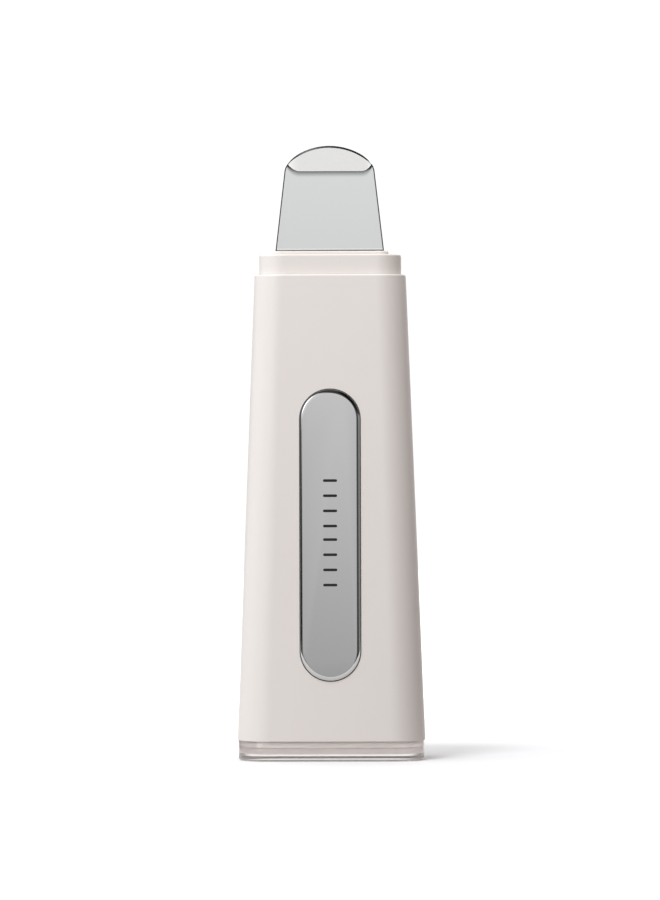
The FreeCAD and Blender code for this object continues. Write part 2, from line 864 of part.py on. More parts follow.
def draw_blade_front(sketch, foot, apex):
    """Straight shank, shoulders, tapered sides and a tip of three tangent arcs."""
    first = sketch.GeometryCount
    narrow, wide, shoulder = d.shank_width / 2, d.blade_width / 2, BLADE_FOOT
    corner_x = d.tip_width / 2 - d.tip_corner
    top_y = apex - d.tip_arc
    reach = d.tip_arc - d.tip_corner
    rise = math.sqrt(number(reach) ** 2 - number(corner_x) ** 2)
    corner_y = number(top_y) + rise
    turn = math.atan2(rise, number(corner_x))
    slope = math.atan2(number(wide) - number(d.tip_width) / 2, corner_y - number(shoulder))
    up = Vector(0, 0, 1)
    small, large = number(d.tip_corner), number(d.tip_arc)
    right_centre = Vector(number(corner_x), corner_y, 0)
    left_centre = Vector(-number(corner_x), corner_y, 0)
    right = Part.ArcOfCircle(Part.Circle(right_centre, up, small), slope, turn)
    top = Part.ArcOfCircle(Part.Circle(Vector(0, number(top_y), 0), up, large), turn, math.pi - turn)
    left = Part.ArcOfCircle(Part.Circle(left_centre, up, small), math.pi - turn, math.pi - slope)
    corners = [(-wide, shoulder), (-narrow, shoulder), (-narrow, foot), (narrow, foot),
               (narrow, shoulder), (wide, shoulder)]
    points = [Vector(number(x), number(y), 0) for x, y in corners]
    lines = [Part.LineSegment(points[index], points[index + 1]) for index in range(5)]
    lines.append(Part.LineSegment(points[5], right.StartPoint))
    for line in lines:
        sketch.addGeometry(line, False)
    for arc in (right, top, left):
        sketch.addGeometry(arc, False)
    sketch.addGeometry(Part.LineSegment(left.EndPoint, points[0]), False)
    for index in range(5):
        sketch.addConstraint(Sketcher.Constraint("Coincident", first + index, 2, first + index + 1, 1))
    for index in range(5, 9):
        sketch.addConstraint(Sketcher.Constraint("Tangent", first + index, 2, first + index + 1, 1))
    sketch.addConstraint(Sketcher.Constraint("Coincident", first + 9, 2, first, 1))
    for index, (x, y) in enumerate(corners):
        fix_point(sketch, first + index, 1, x, y)
    for index, radius in ((6, d.tip_corner), (7, d.tip_arc), (8, d.tip_corner)):
        fix_radius(sketch, first + index, radius)
    fix_point(sketch, first + 7, 3, 0, top_y)
    for index, x in ((6, corner_x), (8, -corner_x)):
        constraint = Sketcher.Constraint("DistanceX", -1, 1, first + index, 3, number(x))
        tie(sketch, f"Constraints[{sketch.addConstraint(constraint)}]", x)


def make_blade_screws():
    screws = []
    for index, side in enumerate((1, -1), start=1):
        place = (side * d.blade_screw_x, -d.jaw_depth / 2, BLADE_SCREW_Z)
        screws.append(screw(f"blade_screw_{index}", d.jaw_depth - d.blade_screw_short, place, "+Y"))
    return group("blade_screws", *screws)


# ------------------------------------------------------------------ transducer stack

def make_horn():
    """The turned amplifier: a flange at its foot, a bolt hole below, and slotted jaws on top."""
    height, radius = d.horn_height, d.stack_radius
    blank = turned("horn_blank", [(0, 0), (d.flange_radius, 0), (d.flange_radius, d.flange_height),
                                  (radius, d.flange_height), (radius, height), (0, height)])
    put(blank, (0, 0, HORN_FOOT))
    tools = []
    for name, side in (("front", -1), ("back", 1)):
        tools.append(block(f"horn_{name}_flat", (4 * radius, radius, d.jaw_height + d.over),
                           (0, side * (d.jaw_depth / 2 + radius / 2), HORN_TOP - d.jaw_height)))
    tools.append(block("horn_slot", (4 * radius, d.blade_thick + 2 * d.fit, d.slot_depth + d.over),
                       (0, 0, HORN_TOP - d.slot_depth)))
    bolt_depth = d.bolt_length - (HORN_FOOT - d.stack_start)
    tools.append(rod("horn_bolt_hole", d.bolt_radius + d.fit, bolt_depth + 2 * d.over,
                     (0, 0, HORN_FOOT - d.over)))
    for index, side in enumerate((1, -1), start=1):
        place = (side * d.blade_screw_x, -2 * radius, BLADE_SCREW_Z)
        tools.append(rod(f"horn_screw_hole_{index}", d.screw_radius + d.fit, 4 * radius, place, "+Y"))
    return cut("transducer_horn", blank, *tools)


def drill_blade(blade):
    """Two screw holes through the blade's shank."""
    holes = new_sketch(blade, "screw_holes", "XZ_Plane")
    for side in (1, -1):
        draw_circle(holes, d.screw_radius + d.fit, side * d.blade_screw_x, BLADE_SCREW_Z)
    pocket(holes, 4 * d.blade_thick, symmetric=True)


def make_stack_rings():
    radius, bore = d.stack_radius, d.piezo_bore
    rings = [ring("piezo_ring_lower", bore, radius, d.piezo_height, (0, 0, LOWER_PIEZO_FOOT)),
             ring("piezo_ring_upper", bore, radius, d.piezo_height, (0, 0, UPPER_PIEZO_FOOT)),
             ring("back_mass", d.bolt_radius + d.fit, radius, d.back_mass_height, (0, 0, d.stack_start))]
    for name, foot in (("electrode_shim_ground", GROUND_SHIM_FOOT), ("electrode_shim_hot", HOT_SHIM_FOOT)):
        disc = ring(f"{name}_disc", bore, radius, d.shim_thick, (0, 0, foot))
        side = 1 if name.endswith("hot") else -1
        tab = block(f"{name}_tab", (d.tab_width, d.tab_reach, d.shim_thick),
                    (side * d.tab_x, radius + d.fit, foot))
        rings.append(fuse(name, disc, tab))
    return rings


def make_transducer_bolt():
    head, height = d.bolt_head_radius, d.bolt_head_height
    blank = turned("bolt_blank", [(0, -height), (head, -height), (head, 0), (d.bolt_radius, 0),
                                  (d.bolt_radius, d.bolt_length), (0, d.bolt_length)])
    socket = doc.addObject("Part::Prism", "bolt_socket")
    socket.Polygon = 6
    tie(socket, "Circumradius", head * 0.5)
    tie(socket, "Height", height * 0.7)
    put(socket, (0, 0, -height * 1.1))
    return put(cut("transducer_bolt", blank, socket), (0, 0, d.stack_start))


def make_isolators():
    """Two rubber sleeves between the stack and its saddles."""
    margin = (d.saddle_height - d.isolator_height) / 2
    return [ring(name, d.stack_radius + d.fit, d.isolator_radius, d.isolator_height, (0, 0, foot + margin))
            for name, foot in (("isolator_lower", d.saddle_low), ("isolator_upper", d.saddle_high))]


def saddle_tools(name, foot):
    """The stack's clearance through a saddle and the groove for its isolator."""
    margin = (d.saddle_height - d.isolator_height) / 2
    return [rod(f"{name}_lip", d.saddle_lip, d.saddle_height + 2 * d.over, (0, 0, foot - d.over)),
            rod(f"{name}_groove", d.isolator_radius + d.fit, d.isolator_height, (0, 0, foot + margin))]


def make_clamps():
    """The two front halves of the saddles, each held by two screws."""
    clamps = []
    for name, foot in (("transducer_clamp_lower", d.saddle_low), ("transducer_clamp_upper", d.saddle_high)):
        blank = block(f"{name}_blank", (d.saddle_width, d.saddle_depth, d.saddle_height),
                      (0, -d.saddle_depth / 2 - d.fit, foot))
        tools = saddle_tools(name, foot)
        for index, side in enumerate((1, -1), start=1):
            place = (side * d.clamp_screw_x, -d.saddle_depth - d.over, foot + d.saddle_height / 2)
            tools.append(rod(f"{name}_hole_{index}", d.screw_radius + d.fit, d.saddle_depth + 2 * d.over,
                             place, "+Y"))
            tools.append(rod(f"{name}_seat_{index}", d.screw_head + d.fit, d.saddle_depth / 2 + d.over,
                             place, "+Y"))
        clamps.append(cut(name, blank, *tools))
    return clamps


def make_clamp_screws():
    screws = []
    for level_name, foot in (("low", d.saddle_low), ("high", d.saddle_high)):
        for side_name, side in (("right", 1), ("left", -1)):
            place = (side * d.clamp_screw_x, -d.saddle_depth / 2, foot + d.saddle_height / 2)
            screws.append(screw(f"clamp_screw_{level_name}_{side_name}", d.saddle_depth, place, "+Y"))
    return group("clamp_screws", *screws)


# ------------------------------------------------------------------ chassis

def make_chassis():
    """The inner frame: floor, upright spine, board stand-offs, two saddles and the collar's posts."""
    spine_middle = d.spine_front + d.spine_thick / 2
    solids = [
        block("chassis_floor", (d.floor_width, d.floor_depth, d.floor_thick), (0, 0, d.floor_bottom)),
        block("chassis_spine", (d.spine_width, d.spine_thick, d.saddle_high + d.saddle_height - FLOOR_TOP),
              (0, spine_middle, FLOOR_TOP)),
    ]
    tools = [
        block("spine_window", (d.window_width, 3 * d.spine_thick, d.window_top - d.window_bottom),
              (0, spine_middle, d.window_bottom)),
        rod("stack_clearance", d.flange_radius + 12 * d.fit, d.saddle_high - d.saddle_low - d.saddle_height,
            (0, 0, d.saddle_low + d.saddle_height)),
        rod("bolt_head_clearance", d.saddle_lip, d.bolt_head_height + 2 * d.over,
            (0, 0, d.stack_start - d.bolt_head_height - d.over)),
    ]
    for index, (x, y) in enumerate(floor_screw_places(), start=1):
        tools.append(rod(f"floor_hole_{index}", d.screw_radius + d.fit, d.floor_thick + 2 * d.over,
                         (x, y, d.floor_bottom - d.over)))
    for more_solids, more_tools in (chassis_saddles(), chassis_posts(), chassis_standoffs()):
        solids += more_solids
        tools += more_tools
    return cut("chassis", fuse("chassis_solid", *solids), *tools)


def chassis_saddles():
    """The rear half of each saddle, with its bore, groove and two screw holes."""
    solids, tools = [], []
    for name, foot in (("low", d.saddle_low), ("high", d.saddle_high)):
        solids.append(block(f"saddle_{name}", (d.saddle_width, d.saddle_depth, d.saddle_height),
                            (0, d.saddle_depth / 2 + d.fit, foot)))
        tools += saddle_tools(f"saddle_{name}", foot)
        for index, side in enumerate((1, -1), start=1):
            place = (side * d.clamp_screw_x, 0, foot + d.saddle_height / 2)
            tools.append(rod(f"saddle_{name}_hole_{index}", d.screw_radius + d.fit,
                             d.saddle_depth / 2 + d.over,
                             place, "+Y"))
    return solids, tools


def chassis_posts():
    """Two drilled posts on the upper saddle, which carry the collar."""
    foot = d.saddle_high + d.saddle_height
    height = COLLAR_FOOT - foot
    solids, tools = [], []
    for index, side in enumerate((1, -1), start=1):
        size = (2 * d.boss_radius, 2 * d.boss_radius + 2 * d.over, height)
        solids.append(block(f"collar_post_{index}", size,
                            (side * d.collar_screw, 1, foot)))
        tools.append(rod(f"collar_post_hole_{index}", d.screw_radius + d.fit, height + d.over,
                         (side * d.collar_screw, 0, foot + d.over)))
    return solids, tools


def chassis_standoffs():
    """Four drilled stand-offs between the spine and the board."""
    solids, tools = [], []
    for index, (x, z) in enumerate(board_screw_places(), start=1):
        solids.append(rod(f"standoff_{index}", d.standoff_radius, BOARD_FRONT - SPINE_BACK + d.over,
                          (x, SPINE_BACK - d.over, z), "+Y"))
        tools.append(rod(f"standoff_hole_{index}", d.screw_radius + d.fit,
                         BOARD_FRONT - d.spine_front + 2 * d.over,
                         (x, d.spine_front - d.over, z), "+Y"))
    return solids, tools


def board_screw_places():
    low, high = d.board_bottom + d.board_screw_inset, d.board_top - d.board_screw_inset
    return [(side * d.board_screw_x, z) for side in (1, -1) for z in (low, high)]


def make_cover_screws():
    screws = []
    length = FLOOR_TOP - d.base_floor - d.screw_head_height - d.cover_gap
    for index, (x, y) in enumerate(floor_screw_places(), start=1):
        place = (x, y, d.base_floor + d.screw_head_height + d.cover_gap / 2)
        screws.append(screw(f"cover_screw_{index}", length, place, "+Z"))
    return group("cover_screws", *screws)


def make_collar_screws():
    length = COLLAR_TOP - COLLAR_FOOT + d.collar_seat
    screws = [screw(f"collar_screw_{index}", length,
                    (side * d.collar_screw, 0, COLLAR_TOP - d.screw_head_height), "-Z")
              for index, side in enumerate((1, -1), start=1)]
    return group("collar_screws", *screws)


# ------------------------------------------------------------------ contact plate

def make_contact_plate():
    """The metal touch plate: a pill with a bevelled rim and two studs behind it."""
    body = new_body("contact_plate")
    back = d.gasket_thick - d.plate_recess
    outline = front_sketch(body, "outline", back)
    pad(draw_pill(outline, d.plate_width, d.plate_length), d.plate_thick)
    doc.recompute()
    front = min(body.Shape.Faces, key=lambda face: face.CenterOfMass.y)
    names = [f"Edge{index}" for index, edge in enumerate(body.Shape.Edges, start=1)
             if any(edge.isSame(other) for other in front.Edges)]
    base = body.Tip
    bevel = body.newObject("PartDesign::Chamfer", "contact_plate_bevel")
    bevel.Base = (base, names)
    bevel.ChamferType = "Two distances"
    tie(bevel, "Size", d.plate_bevel_drop)
    tie(bevel, "Size2", d.plate_bevel)
    doc.recompute()
    studs = front_sketch(body, "studs", back)
    for side in (1, -1):
        draw_circle(studs, d.stud_radius, 0, side * d.stud_spread / 2)
    pad(studs, d.stud_length + d.shell_wall, backwards=True)
    return body


def make_plate_gasket():
    body = new_body("plate_gasket")
    outline = front_sketch(body, "outline", -d.plate_recess)
    draw_pill(outline, d.plate_width - 4 * d.plate_gap, d.plate_length - 4 * d.plate_gap)
    pad(outline, d.gasket_thick)
    holes = front_sketch(body, "holes", -d.plate_recess)
    for side in (1, -1):
        draw_circle(holes, d.stud_radius + d.fit, 0, side * d.stud_spread / 2)
    pocket(holes, backwards=True)
    return body


def make_plate_nuts():
    """Two hexagonal nuts on the plate's studs, against the inside of the wall."""
    nuts = []
    for index, side in enumerate((1, -1), start=1):
        body = new_body(f"plate_nut_{index}")
        outline = front_sketch(body, "outline", -d.shell_wall - d.fit)
        middle = side * d.stud_spread / 2
        corners = []
        for step in range(6):
            angle = Measure(60 * step, f"({60 * step})")
            corners.append((d.nut_radius * cosine(angle), middle + d.nut_radius * sine(angle)))
        draw_polygon(outline, corners)
        draw_circle(outline, d.stud_radius + d.fit, 0, middle)
        pad(outline, d.nut_thick, backwards=True)
        nuts.append(body)
    return group("plate_nuts", *nuts)


# ------------------------------------------------------------------ power button

def make_button():
    """A round push button with a shallow dish, a flange behind the wall and a middle post."""
    height, flange, edge = d.button_height, d.button_flange_thick, d.button_edge
    post = d.stem_radius + edge
    points = [(0, 0), (post, 0), (post, d.button_bore_depth),
              (d.button_bore, d.button_bore_depth), (d.button_bore, 0), (d.button_flange, 0),
              (d.button_flange, flange), (d.button_radius, flange), (d.button_radius, height - edge),
              (d.button_radius - edge, height), (d.button_radius - 2 * edge, height),
              (0, height - d.button_dish)]
    return put(turned("power_button", points), (0, d.button_back, d.button_middle), "+Y")


def make_button_seal():
    place = (0, d.button_back + d.button_flange_thick, d.button_middle)
    return ring("button_seal", d.button_radius, d.button_flange, d.button_seal, place, "+Y")


def make_button_trim():
    """The bright ring set into the wall round the button."""
    inner = d.button_radius + d.button_gap
    outer = inner + d.trim_width - d.fit
    height = d.trim_recess + d.trim_proud
    edge = d.trim_edge
    points = [(inner, 0), (outer, 0), (outer, height - edge), (outer - edge, height),
              (inner + edge, height), (inner, height - edge)]
    place = (0, half_depth(d.button_middle) - d.trim_recess, d.button_middle)
    return put(turned("button_trim", points), place, "+Y")


def make_tact_switch():
    """The switch behind the button: a square can with a bore for its plunger and four legs."""
    side, height, leg = d.switch_side, d.switch_height, d.switch_leg
    can = block("switch_can", (side, height, side),
                (0, d.board_back + height / 2, d.button_middle - side / 2))
    legs = []
    for index, (x, z) in enumerate(((1, 1), (1, -1), (-1, 1), (-1, -1)), start=1):
        place = (x * (side + leg) / 2, d.board_back + leg / 4, d.button_middle + z * side / 3 - leg / 2)
        legs.append(block(f"switch_leg_{index}", (leg * 1.5, leg / 2, leg), place))
    bore = rod("switch_bore", d.stem_radius + 2 * d.fit, height,
               (0, d.button_back - d.stem_length - d.button_travel - 3 * d.fit, d.button_middle), "+Y")
    return cut("tact_switch", fuse("switch_solid", can, *legs), bore)


def make_switch_plunger():
    place = (0, d.button_back - d.stem_length, d.button_middle)
    return rod("switch_plunger", d.stem_radius, d.stem_length, place, "+Y")


# ------------------------------------------------------------------ lamps and charging socket

def make_light_guide():
    """Three clear rods on one bar, which bring the lamps' light to the wall."""
    start = d.board_back + d.guide_stand
    bar = block("guide_bar", (3 * d.guide_radius, d.guide_bar, 2 * d.lamp_pitch + 4 * d.guide_radius),
                (0, start + d.guide_bar / 2, d.lamp_middle - d.lamp_pitch - 2 * d.guide_radius))
    rods = []
    for index, step in enumerate((-1, 0, 1), start=1):
        z = d.lamp_middle + step * d.lamp_pitch
        reach = half_depth(z) - start + d.fit
        rods.append(rod(f"guide_rod_{index}", d.guide_radius, reach, (0, start, z), "+Y"))
    return fuse("light_guide", bar, *rods)


def make_status_leds():
    lamps = [block(f"lamp_{index}", (d.lamp_width, d.lamp_thick, d.lamp_height),
                   (0, d.board_back + d.lamp_thick / 2,
                    d.lamp_middle + step * d.lamp_pitch - d.lamp_height / 2))
             for index, step in enumerate((-1, 0, 1), start=1)]
    return group("status_leds", *lamps)


def make_socket_shell():
    """The drawn steel shell of the charging socket, open to the back."""
    body = new_body("charge_socket_shell")
    outline = new_sketch(body, "outline", "XZ_Plane", -d.board_back, y=d.socket_middle)
    draw_rectangle(outline, d.socket_width, d.socket_height, d.socket_corner)
    pad(outline, d.socket_depth, backwards=True)
    inside = new_sketch(body, "inside", "XZ_Plane", -d.board_back, y=d.socket_middle)
    draw_rectangle(inside, d.socket_width - 2 * d.socket_skin, d.socket_height - 2 * d.socket_skin,
                   d.socket_corner - d.socket_skin)
    pocket(inside)
    return body


def make_socket_tongue():
    """The moulded block at the bottom of the socket and its contact tongue."""
    base_height = d.socket_height - 2 * d.socket_skin - 2 * d.fit
    base = block("tongue_base", (d.tongue_width, d.tongue_base, base_height),
                 (0, d.board_back + d.tongue_base / 2, d.socket_middle - base_height / 2))
    tongue = block("tongue_blade", (d.tongue_width, d.tongue_reach, d.tongue_thick),
                   (0, d.board_back + d.tongue_reach / 2, d.socket_middle - d.tongue_thick / 2))
    return fuse("charge_socket_tongue", base, tongue)


# ------------------------------------------------------------------ electronics

def make_main_board():
    body = new_body("main_board")
    height = d.board_top - d.board_bottom
    outline = new_sketch(body, "outline", "XZ_Plane", -d.board_back, y=d.board_bottom + height / 2)
    draw_rectangle(outline, d.board_width, height, d.board_corner)
    pad(outline, d.board_thick)
    holes = new_sketch(body, "holes", "XZ_Plane", -d.board_back)
    for x, z in board_screw_places():
        draw_circle(holes, d.screw_radius + d.fit, x, z)
    pocket(holes, backwards=True)
    return body


def make_board_screws():
    length = d.board_back - d.spine_front - d.board_thick / 3
    screws = [screw(f"board_screw_{index}", length, (x, d.board_back, z), "-Y")
              for index, (x, z) in enumerate(board_screw_places(), start=1)]
    return group("board_screws", *screws)


def make_microcontroller():
    """A square chip on the board with a row of legs down each side."""
    side, height, legs = d.chip_side, d.chip_height, 8
    chip = block("chip_case", (side, height, side),
                 (0, d.board_back + height / 2, d.chip_middle - side / 2))
    pins = []
    pitch = side / (legs + 1)
    for index in range(legs):
        z = d.chip_middle - side / 2 + pitch * (index + 0.8)
        for word, edge in (("right", 1), ("left", -1)):
            x = edge * (side + d.chip_pin_reach) / 2
            pins.append(block(f"chip_pin_{word}_{index + 1}",
                              (d.chip_pin_reach + d.chip_pin_thick, d.chip_pin_thick, pitch * 0.4),
                              (x - edge * d.chip_pin_thick / 2, d.board_back + d.chip_pin_thick / 2, z)))
    return fuse("microcontroller", chip, *pins)


def make_transformer():
    """The step-up transformer in the spine's window: a ferrite frame round a copper coil."""
    y = BOARD_FRONT - d.core_depth / 2
    through = 2 * d.core_depth
    frame = block("ferrite_frame", (d.core_width, d.core_depth, d.core_height),
                  (0, y, d.core_middle - d.core_height / 2))
    opening = d.core_height - 2 * d.core_yoke
    space = (d.core_width - 2 * d.core_yoke - d.core_leg) / 2
    windows = [block(f"ferrite_window_{word}", (space, through, opening),
                     (side * (d.core_leg + space) / 2, y, d.core_middle - opening / 2))
               for word, side in (("right", 1), ("left", -1))]
    core = cut("transformer_core", frame, *windows)
    tall = opening - 2 * d.coil_gap
    foot = d.core_middle - tall / 2
    inner = d.core_leg + d.fit
    wound = (inner + 2 * d.coil_wall - 2 * d.fit, d.core_depth - 4 * d.coil_gap, tall)
    winding = block("coil_outer", wound,
                    (0, y, foot))
    leg_space = block("coil_leg_space", (inner, through, tall), (0, y, foot))
    return core, cut("transformer_coil", winding, leg_space)


def make_capacitors():
    """Two round cans with a crimped groove near the foot."""
    radius, height = d.capacitor_radius, d.capacitor_height
    groove = height / 12
    points = [(0, 0), (radius * 0.95, 0), (radius, groove), (radius, 2 * groove), (radius * 0.9, 3 * groove),
              (radius, 4 * groove), (radius, height - groove), (radius * 0.9, height), (0, height)]
    cans = []
    for index, side in enumerate((1, -1), start=1):
        place = (side * d.capacitor_x, d.board_back, d.capacitor_z)
        cans.append(put(turned(f"capacitor_{index}", points), place, "+Y"))
    return group("filter_capacitors", *cans)


def make_mosfets():
    """Two drive transistors, each with a tab above its case and three legs below."""
    width, height, thick = d.mosfet_width, d.mosfet_height, d.mosfet_thick
    thin = thick / 4
    pieces = []
    for index, side in enumerate((1, -1), start=1):
        x = side * d.mosfet_x
        case = block(f"mosfet_case_{index}", (width, thick, height),
                     (x, d.board_back + thick / 2, d.mosfet_z))
        tab = block(f"mosfet_tab_{index}", (width * 0.8, thin, d.mosfet_tab),
                    (x, d.board_back + thin / 2, d.mosfet_z + height - thin))
        legs = [block(f"mosfet_leg_{index}_{step + 2}", (width / 9, thin, d.mosfet_leg + thin),
                      (x + step * width / 3, d.board_back + thin / 2, d.mosfet_z - d.mosfet_leg))
                for step in (-1, 0, 1)]
        pieces.append(fuse(f"mosfet_{index}", case, tab, *legs))
    return group("drive_mosfets", *pieces)


# ------------------------------------------------------------------ battery

def make_battery():
    """The cell in its sleeve, with the sleeve's rolled edge and the raised cap on top."""
    radius, length, roll = d.battery_radius, d.battery_length, d.battery_roll
    points = [(0, 0), (radius - roll, 0), (radius, roll), (radius, length - 3 * roll),
              (radius - roll, length - 2.5 * roll), (radius - roll, length - 2 * roll),
              (d.battery_cap, length - 2 * roll), (d.battery_cap, length), (0, length)]
    return put(turned("battery_cell", points), (0, d.battery_y, d.battery_bottom))


def make_battery_straps():
    """Two hoops that hold the cell against the spine, each on a pair of feet."""
    radius, thick, tall = d.battery_radius, d.strap_thick, d.strap_height
    foot_y = d.spine_front - thick / 2
    web_y = (d.battery_y + d.spine_front) / 2
    web_depth = d.spine_front - d.battery_y
    hoops = []
    for index, foot in enumerate((d.strap_low, d.strap_high), start=1):
        clear = (0, d.battery_y, foot - d.over)
        outer = rod(f"strap_outer_{index}", radius + thick, tall, (0, d.battery_y, foot))
        behind = block(f"strap_behind_{index}", (4 * radius, 2 * radius, tall + 2),
                       (0, d.battery_y + radius, foot - d.over))
        solids = [cut(f"strap_front_{index}", outer, behind)]
        for word, side in (("right", 1), ("left", -1)):
            solids.append(block(f"strap_web_{word}_{index}", (thick, web_depth, tall),
                                (side * (radius + thick / 2), web_y, foot)))
            solids.append(block(f"strap_foot_{word}_{index}", (d.strap_foot, thick, tall),
                                (side * (radius + d.strap_foot / 2), foot_y, foot)))
        space = rod(f"strap_space_{index}", radius + d.fit, tall + 2 * d.over, clear)
        hoops.append(cut(f"battery_strap_{index}", fuse(f"strap_solid_{index}", *solids), space))
    return group("battery_straps", *hoops)


# ------------------------------------------------------------------ wires

BEND_SHARE = 0.45  # how much of the shorter run each bend takes up


def lead(name, points):
    """A wire of straight runs joined by tangent arcs, swept from a round section."""
    radius = number(d.lead_radius)
    corners = [Vector(*[number(value) for value in point]) for point in points]
    edges, start, length = [], corners[0], 0.0
    for index in range(1, len(corners) - 1):
        before, here, after = corners[index - 1], corners[index], corners[index + 1]
        inward, outward = (before - here).normalize(), (after - here).normalize()
        turn = math.pi - inward.getAngle(outward)
        shorter = min((before - here).Length, (after - here).Length)
        setback = BEND_SHARE * shorter
        bend = setback / math.tan(turn / 2)
        enter, leave = here + inward * setback, here + outward * setback
        middle_way = (inward + outward).normalize()
        middle = here + middle_way * (bend / math.cos(turn / 2) - bend)
        edges.append(Part.LineSegment(start, enter).toShape())
        edges.append(Part.Arc(enter, middle, leave).toShape())
        start = leave
    edges.append(Part.LineSegment(start, corners[-1]).toShape())
    path = Part.Wire(edges)
    section = Part.Wire([Part.Circle(corners[0], corners[1] - corners[0], radius).toShape()])
    shape = path.makePipeShell([section], True, True)
    expected = math.pi * radius ** 2 * path.Length
    if abs(shape.Volume - expected) > expected / 50:
        raise RuntimeError(f"{name} has the wrong volume")
    item = doc.addObject("Part::Feature", name)
    item.Shape = shape
    return item


def make_battery_leads():
    """The cell's pair of wires, up from its cap and back through the spine's window."""
    cell_top = d.battery_bottom + d.battery_length
    wires = []
    for word, side in (("plus", 1), ("minus", -1)):
        x, bend_z = side * d.lead_x, cell_top + d.lead_rise
        route = [(x, d.battery_y, cell_top), (x, d.battery_y, bend_z), (x, BOARD_FRONT, bend_z)]
        wires.append(lead(f"battery_lead_{word}", route))
    return group("battery_leads", *wires)


def make_transducer_leads():
    """Wires from the two electrode tabs, down behind the lower saddle to the top of the board."""
    wires = []
    behind = d.saddle_depth + 1.2 * d.lead_radius
    landing = d.board_top - 2
    for name, side, foot in (("hot", 1, HOT_SHIM_FOOT), ("ground", -1, GROUND_SHIM_FOOT)):
        x, start = side * d.tab_x, foot + d.shim_thick + d.lead_radius
        route = [(x, d.stack_radius + 0.4, start), (x, behind, start), (x, behind, landing),
                 (x, d.board_back, landing)]
        wires.append(lead(f"transducer_lead_{name}", route))
    return group("transducer_leads", *wires)


def make_plate_terminal():
    """The ring terminal on the upper stud's nut, with its crimp tab below."""
    body = new_body("plate_terminal")
    lift = -(d.shell_wall + d.fit + d.nut_thick)
    middle = d.stud_spread / 2
    washer = front_sketch(body, "washer", lift)
    draw_circle(washer, d.terminal_radius, 0, middle)
    draw_circle(washer, d.stud_radius + d.fit, 0, middle)
    pad(washer, d.terminal_thick, backwards=True)
    tab = front_sketch(body, "tab", lift)
    x, low, high = d.terminal_width / 2, middle - d.terminal_reach, middle - d.terminal_radius * 0.8
    draw_polygon(tab, [(-x, low), (x, low), (x, high), (-x, high)])
    pad(tab, d.terminal_thick, backwards=True)
    return body


def make_plate_lead():
    """The single wire from the contact plate's terminal to the board, over the transformer."""
    start_z = d.plate_middle + d.stud_spread / 2 - d.terminal_reach + d.over
    start_y = -half_depth(start_z) + d.shell_wall + d.fit + d.nut_thick + d.terminal_thick
    over = d.window_top - 2.4 * d.lead_radius
    route = [(0, start_y, start_z), (0, start_y + 5, start_z), (0, start_y + 8, over),
             (0, BOARD_FRONT, over)]
    return lead("plate_lead", route)


# ------------------------------------------------------------------ assembly

blade = make_blade()
drill_blade(blade)
PARTS = [
    make_clear_base(), make_bottom_cover(), make_base_seal(), make_body_shell(), make_collar(),
    make_grommet(), blade, make_blade_screws(), make_horn(), *make_stack_rings(),
    make_transducer_bolt(), *make_isolators(), *make_clamps(), make_clamp_screws(), make_chassis(),
    make_cover_screws(), make_collar_screws(), make_contact_plate(), make_plate_gasket(),
    make_plate_nuts(), make_button(), make_button_seal(), make_button_trim(), make_tact_switch(),
    make_switch_plunger(), make_light_guide(), make_status_leds(), make_socket_shell(),
    make_socket_tongue(), make_main_board(), make_board_screws(),
    make_microcontroller(), *make_transformer(),
    make_capacitors(), make_mosfets(), make_battery(), make_battery_straps(), make_battery_leads(),
    make_transducer_leads(), make_plate_terminal(), make_plate_lead(),
]
doc.recompute()

for item in doc.Objects:
    if {"Invalid", "Error"} & set(item.State):
        raise RuntimeError(f"{item.Name} failed: {item.State}")

os.makedirs("parts", exist_ok=True)
for part in PARTS:
    shape = part.Shape
    if shape.isNull() or not shape.isValid():
        raise RuntimeError(f"{part.Label} has no valid shape")
    shape.exportStep(f"parts/{part.Label}.step")
print(f"wrote {len(PARTS)} parts")
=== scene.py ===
import math

import bmesh
import bpy
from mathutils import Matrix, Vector


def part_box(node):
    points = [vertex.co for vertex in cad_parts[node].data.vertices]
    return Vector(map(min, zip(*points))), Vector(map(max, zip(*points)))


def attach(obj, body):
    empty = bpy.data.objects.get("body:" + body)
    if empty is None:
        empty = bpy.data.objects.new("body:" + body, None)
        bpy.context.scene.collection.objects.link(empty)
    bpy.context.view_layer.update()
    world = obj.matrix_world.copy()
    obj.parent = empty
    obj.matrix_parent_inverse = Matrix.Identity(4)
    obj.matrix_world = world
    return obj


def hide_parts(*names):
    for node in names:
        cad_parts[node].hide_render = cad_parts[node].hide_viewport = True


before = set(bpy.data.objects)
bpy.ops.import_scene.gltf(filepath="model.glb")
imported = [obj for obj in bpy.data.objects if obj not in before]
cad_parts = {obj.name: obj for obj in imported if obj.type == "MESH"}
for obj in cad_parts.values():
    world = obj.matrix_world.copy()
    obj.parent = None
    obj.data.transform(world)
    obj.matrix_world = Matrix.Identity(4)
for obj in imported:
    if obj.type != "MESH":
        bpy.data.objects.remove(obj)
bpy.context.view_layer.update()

MM = 0.001
BROAD_MOTTLING = 60.0
SAME_PLACE = 0.001 * MM

scene = bpy.context.scene
scene.view_settings.view_transform = "Standard"


# ------------------------------------------------------------------ node helpers


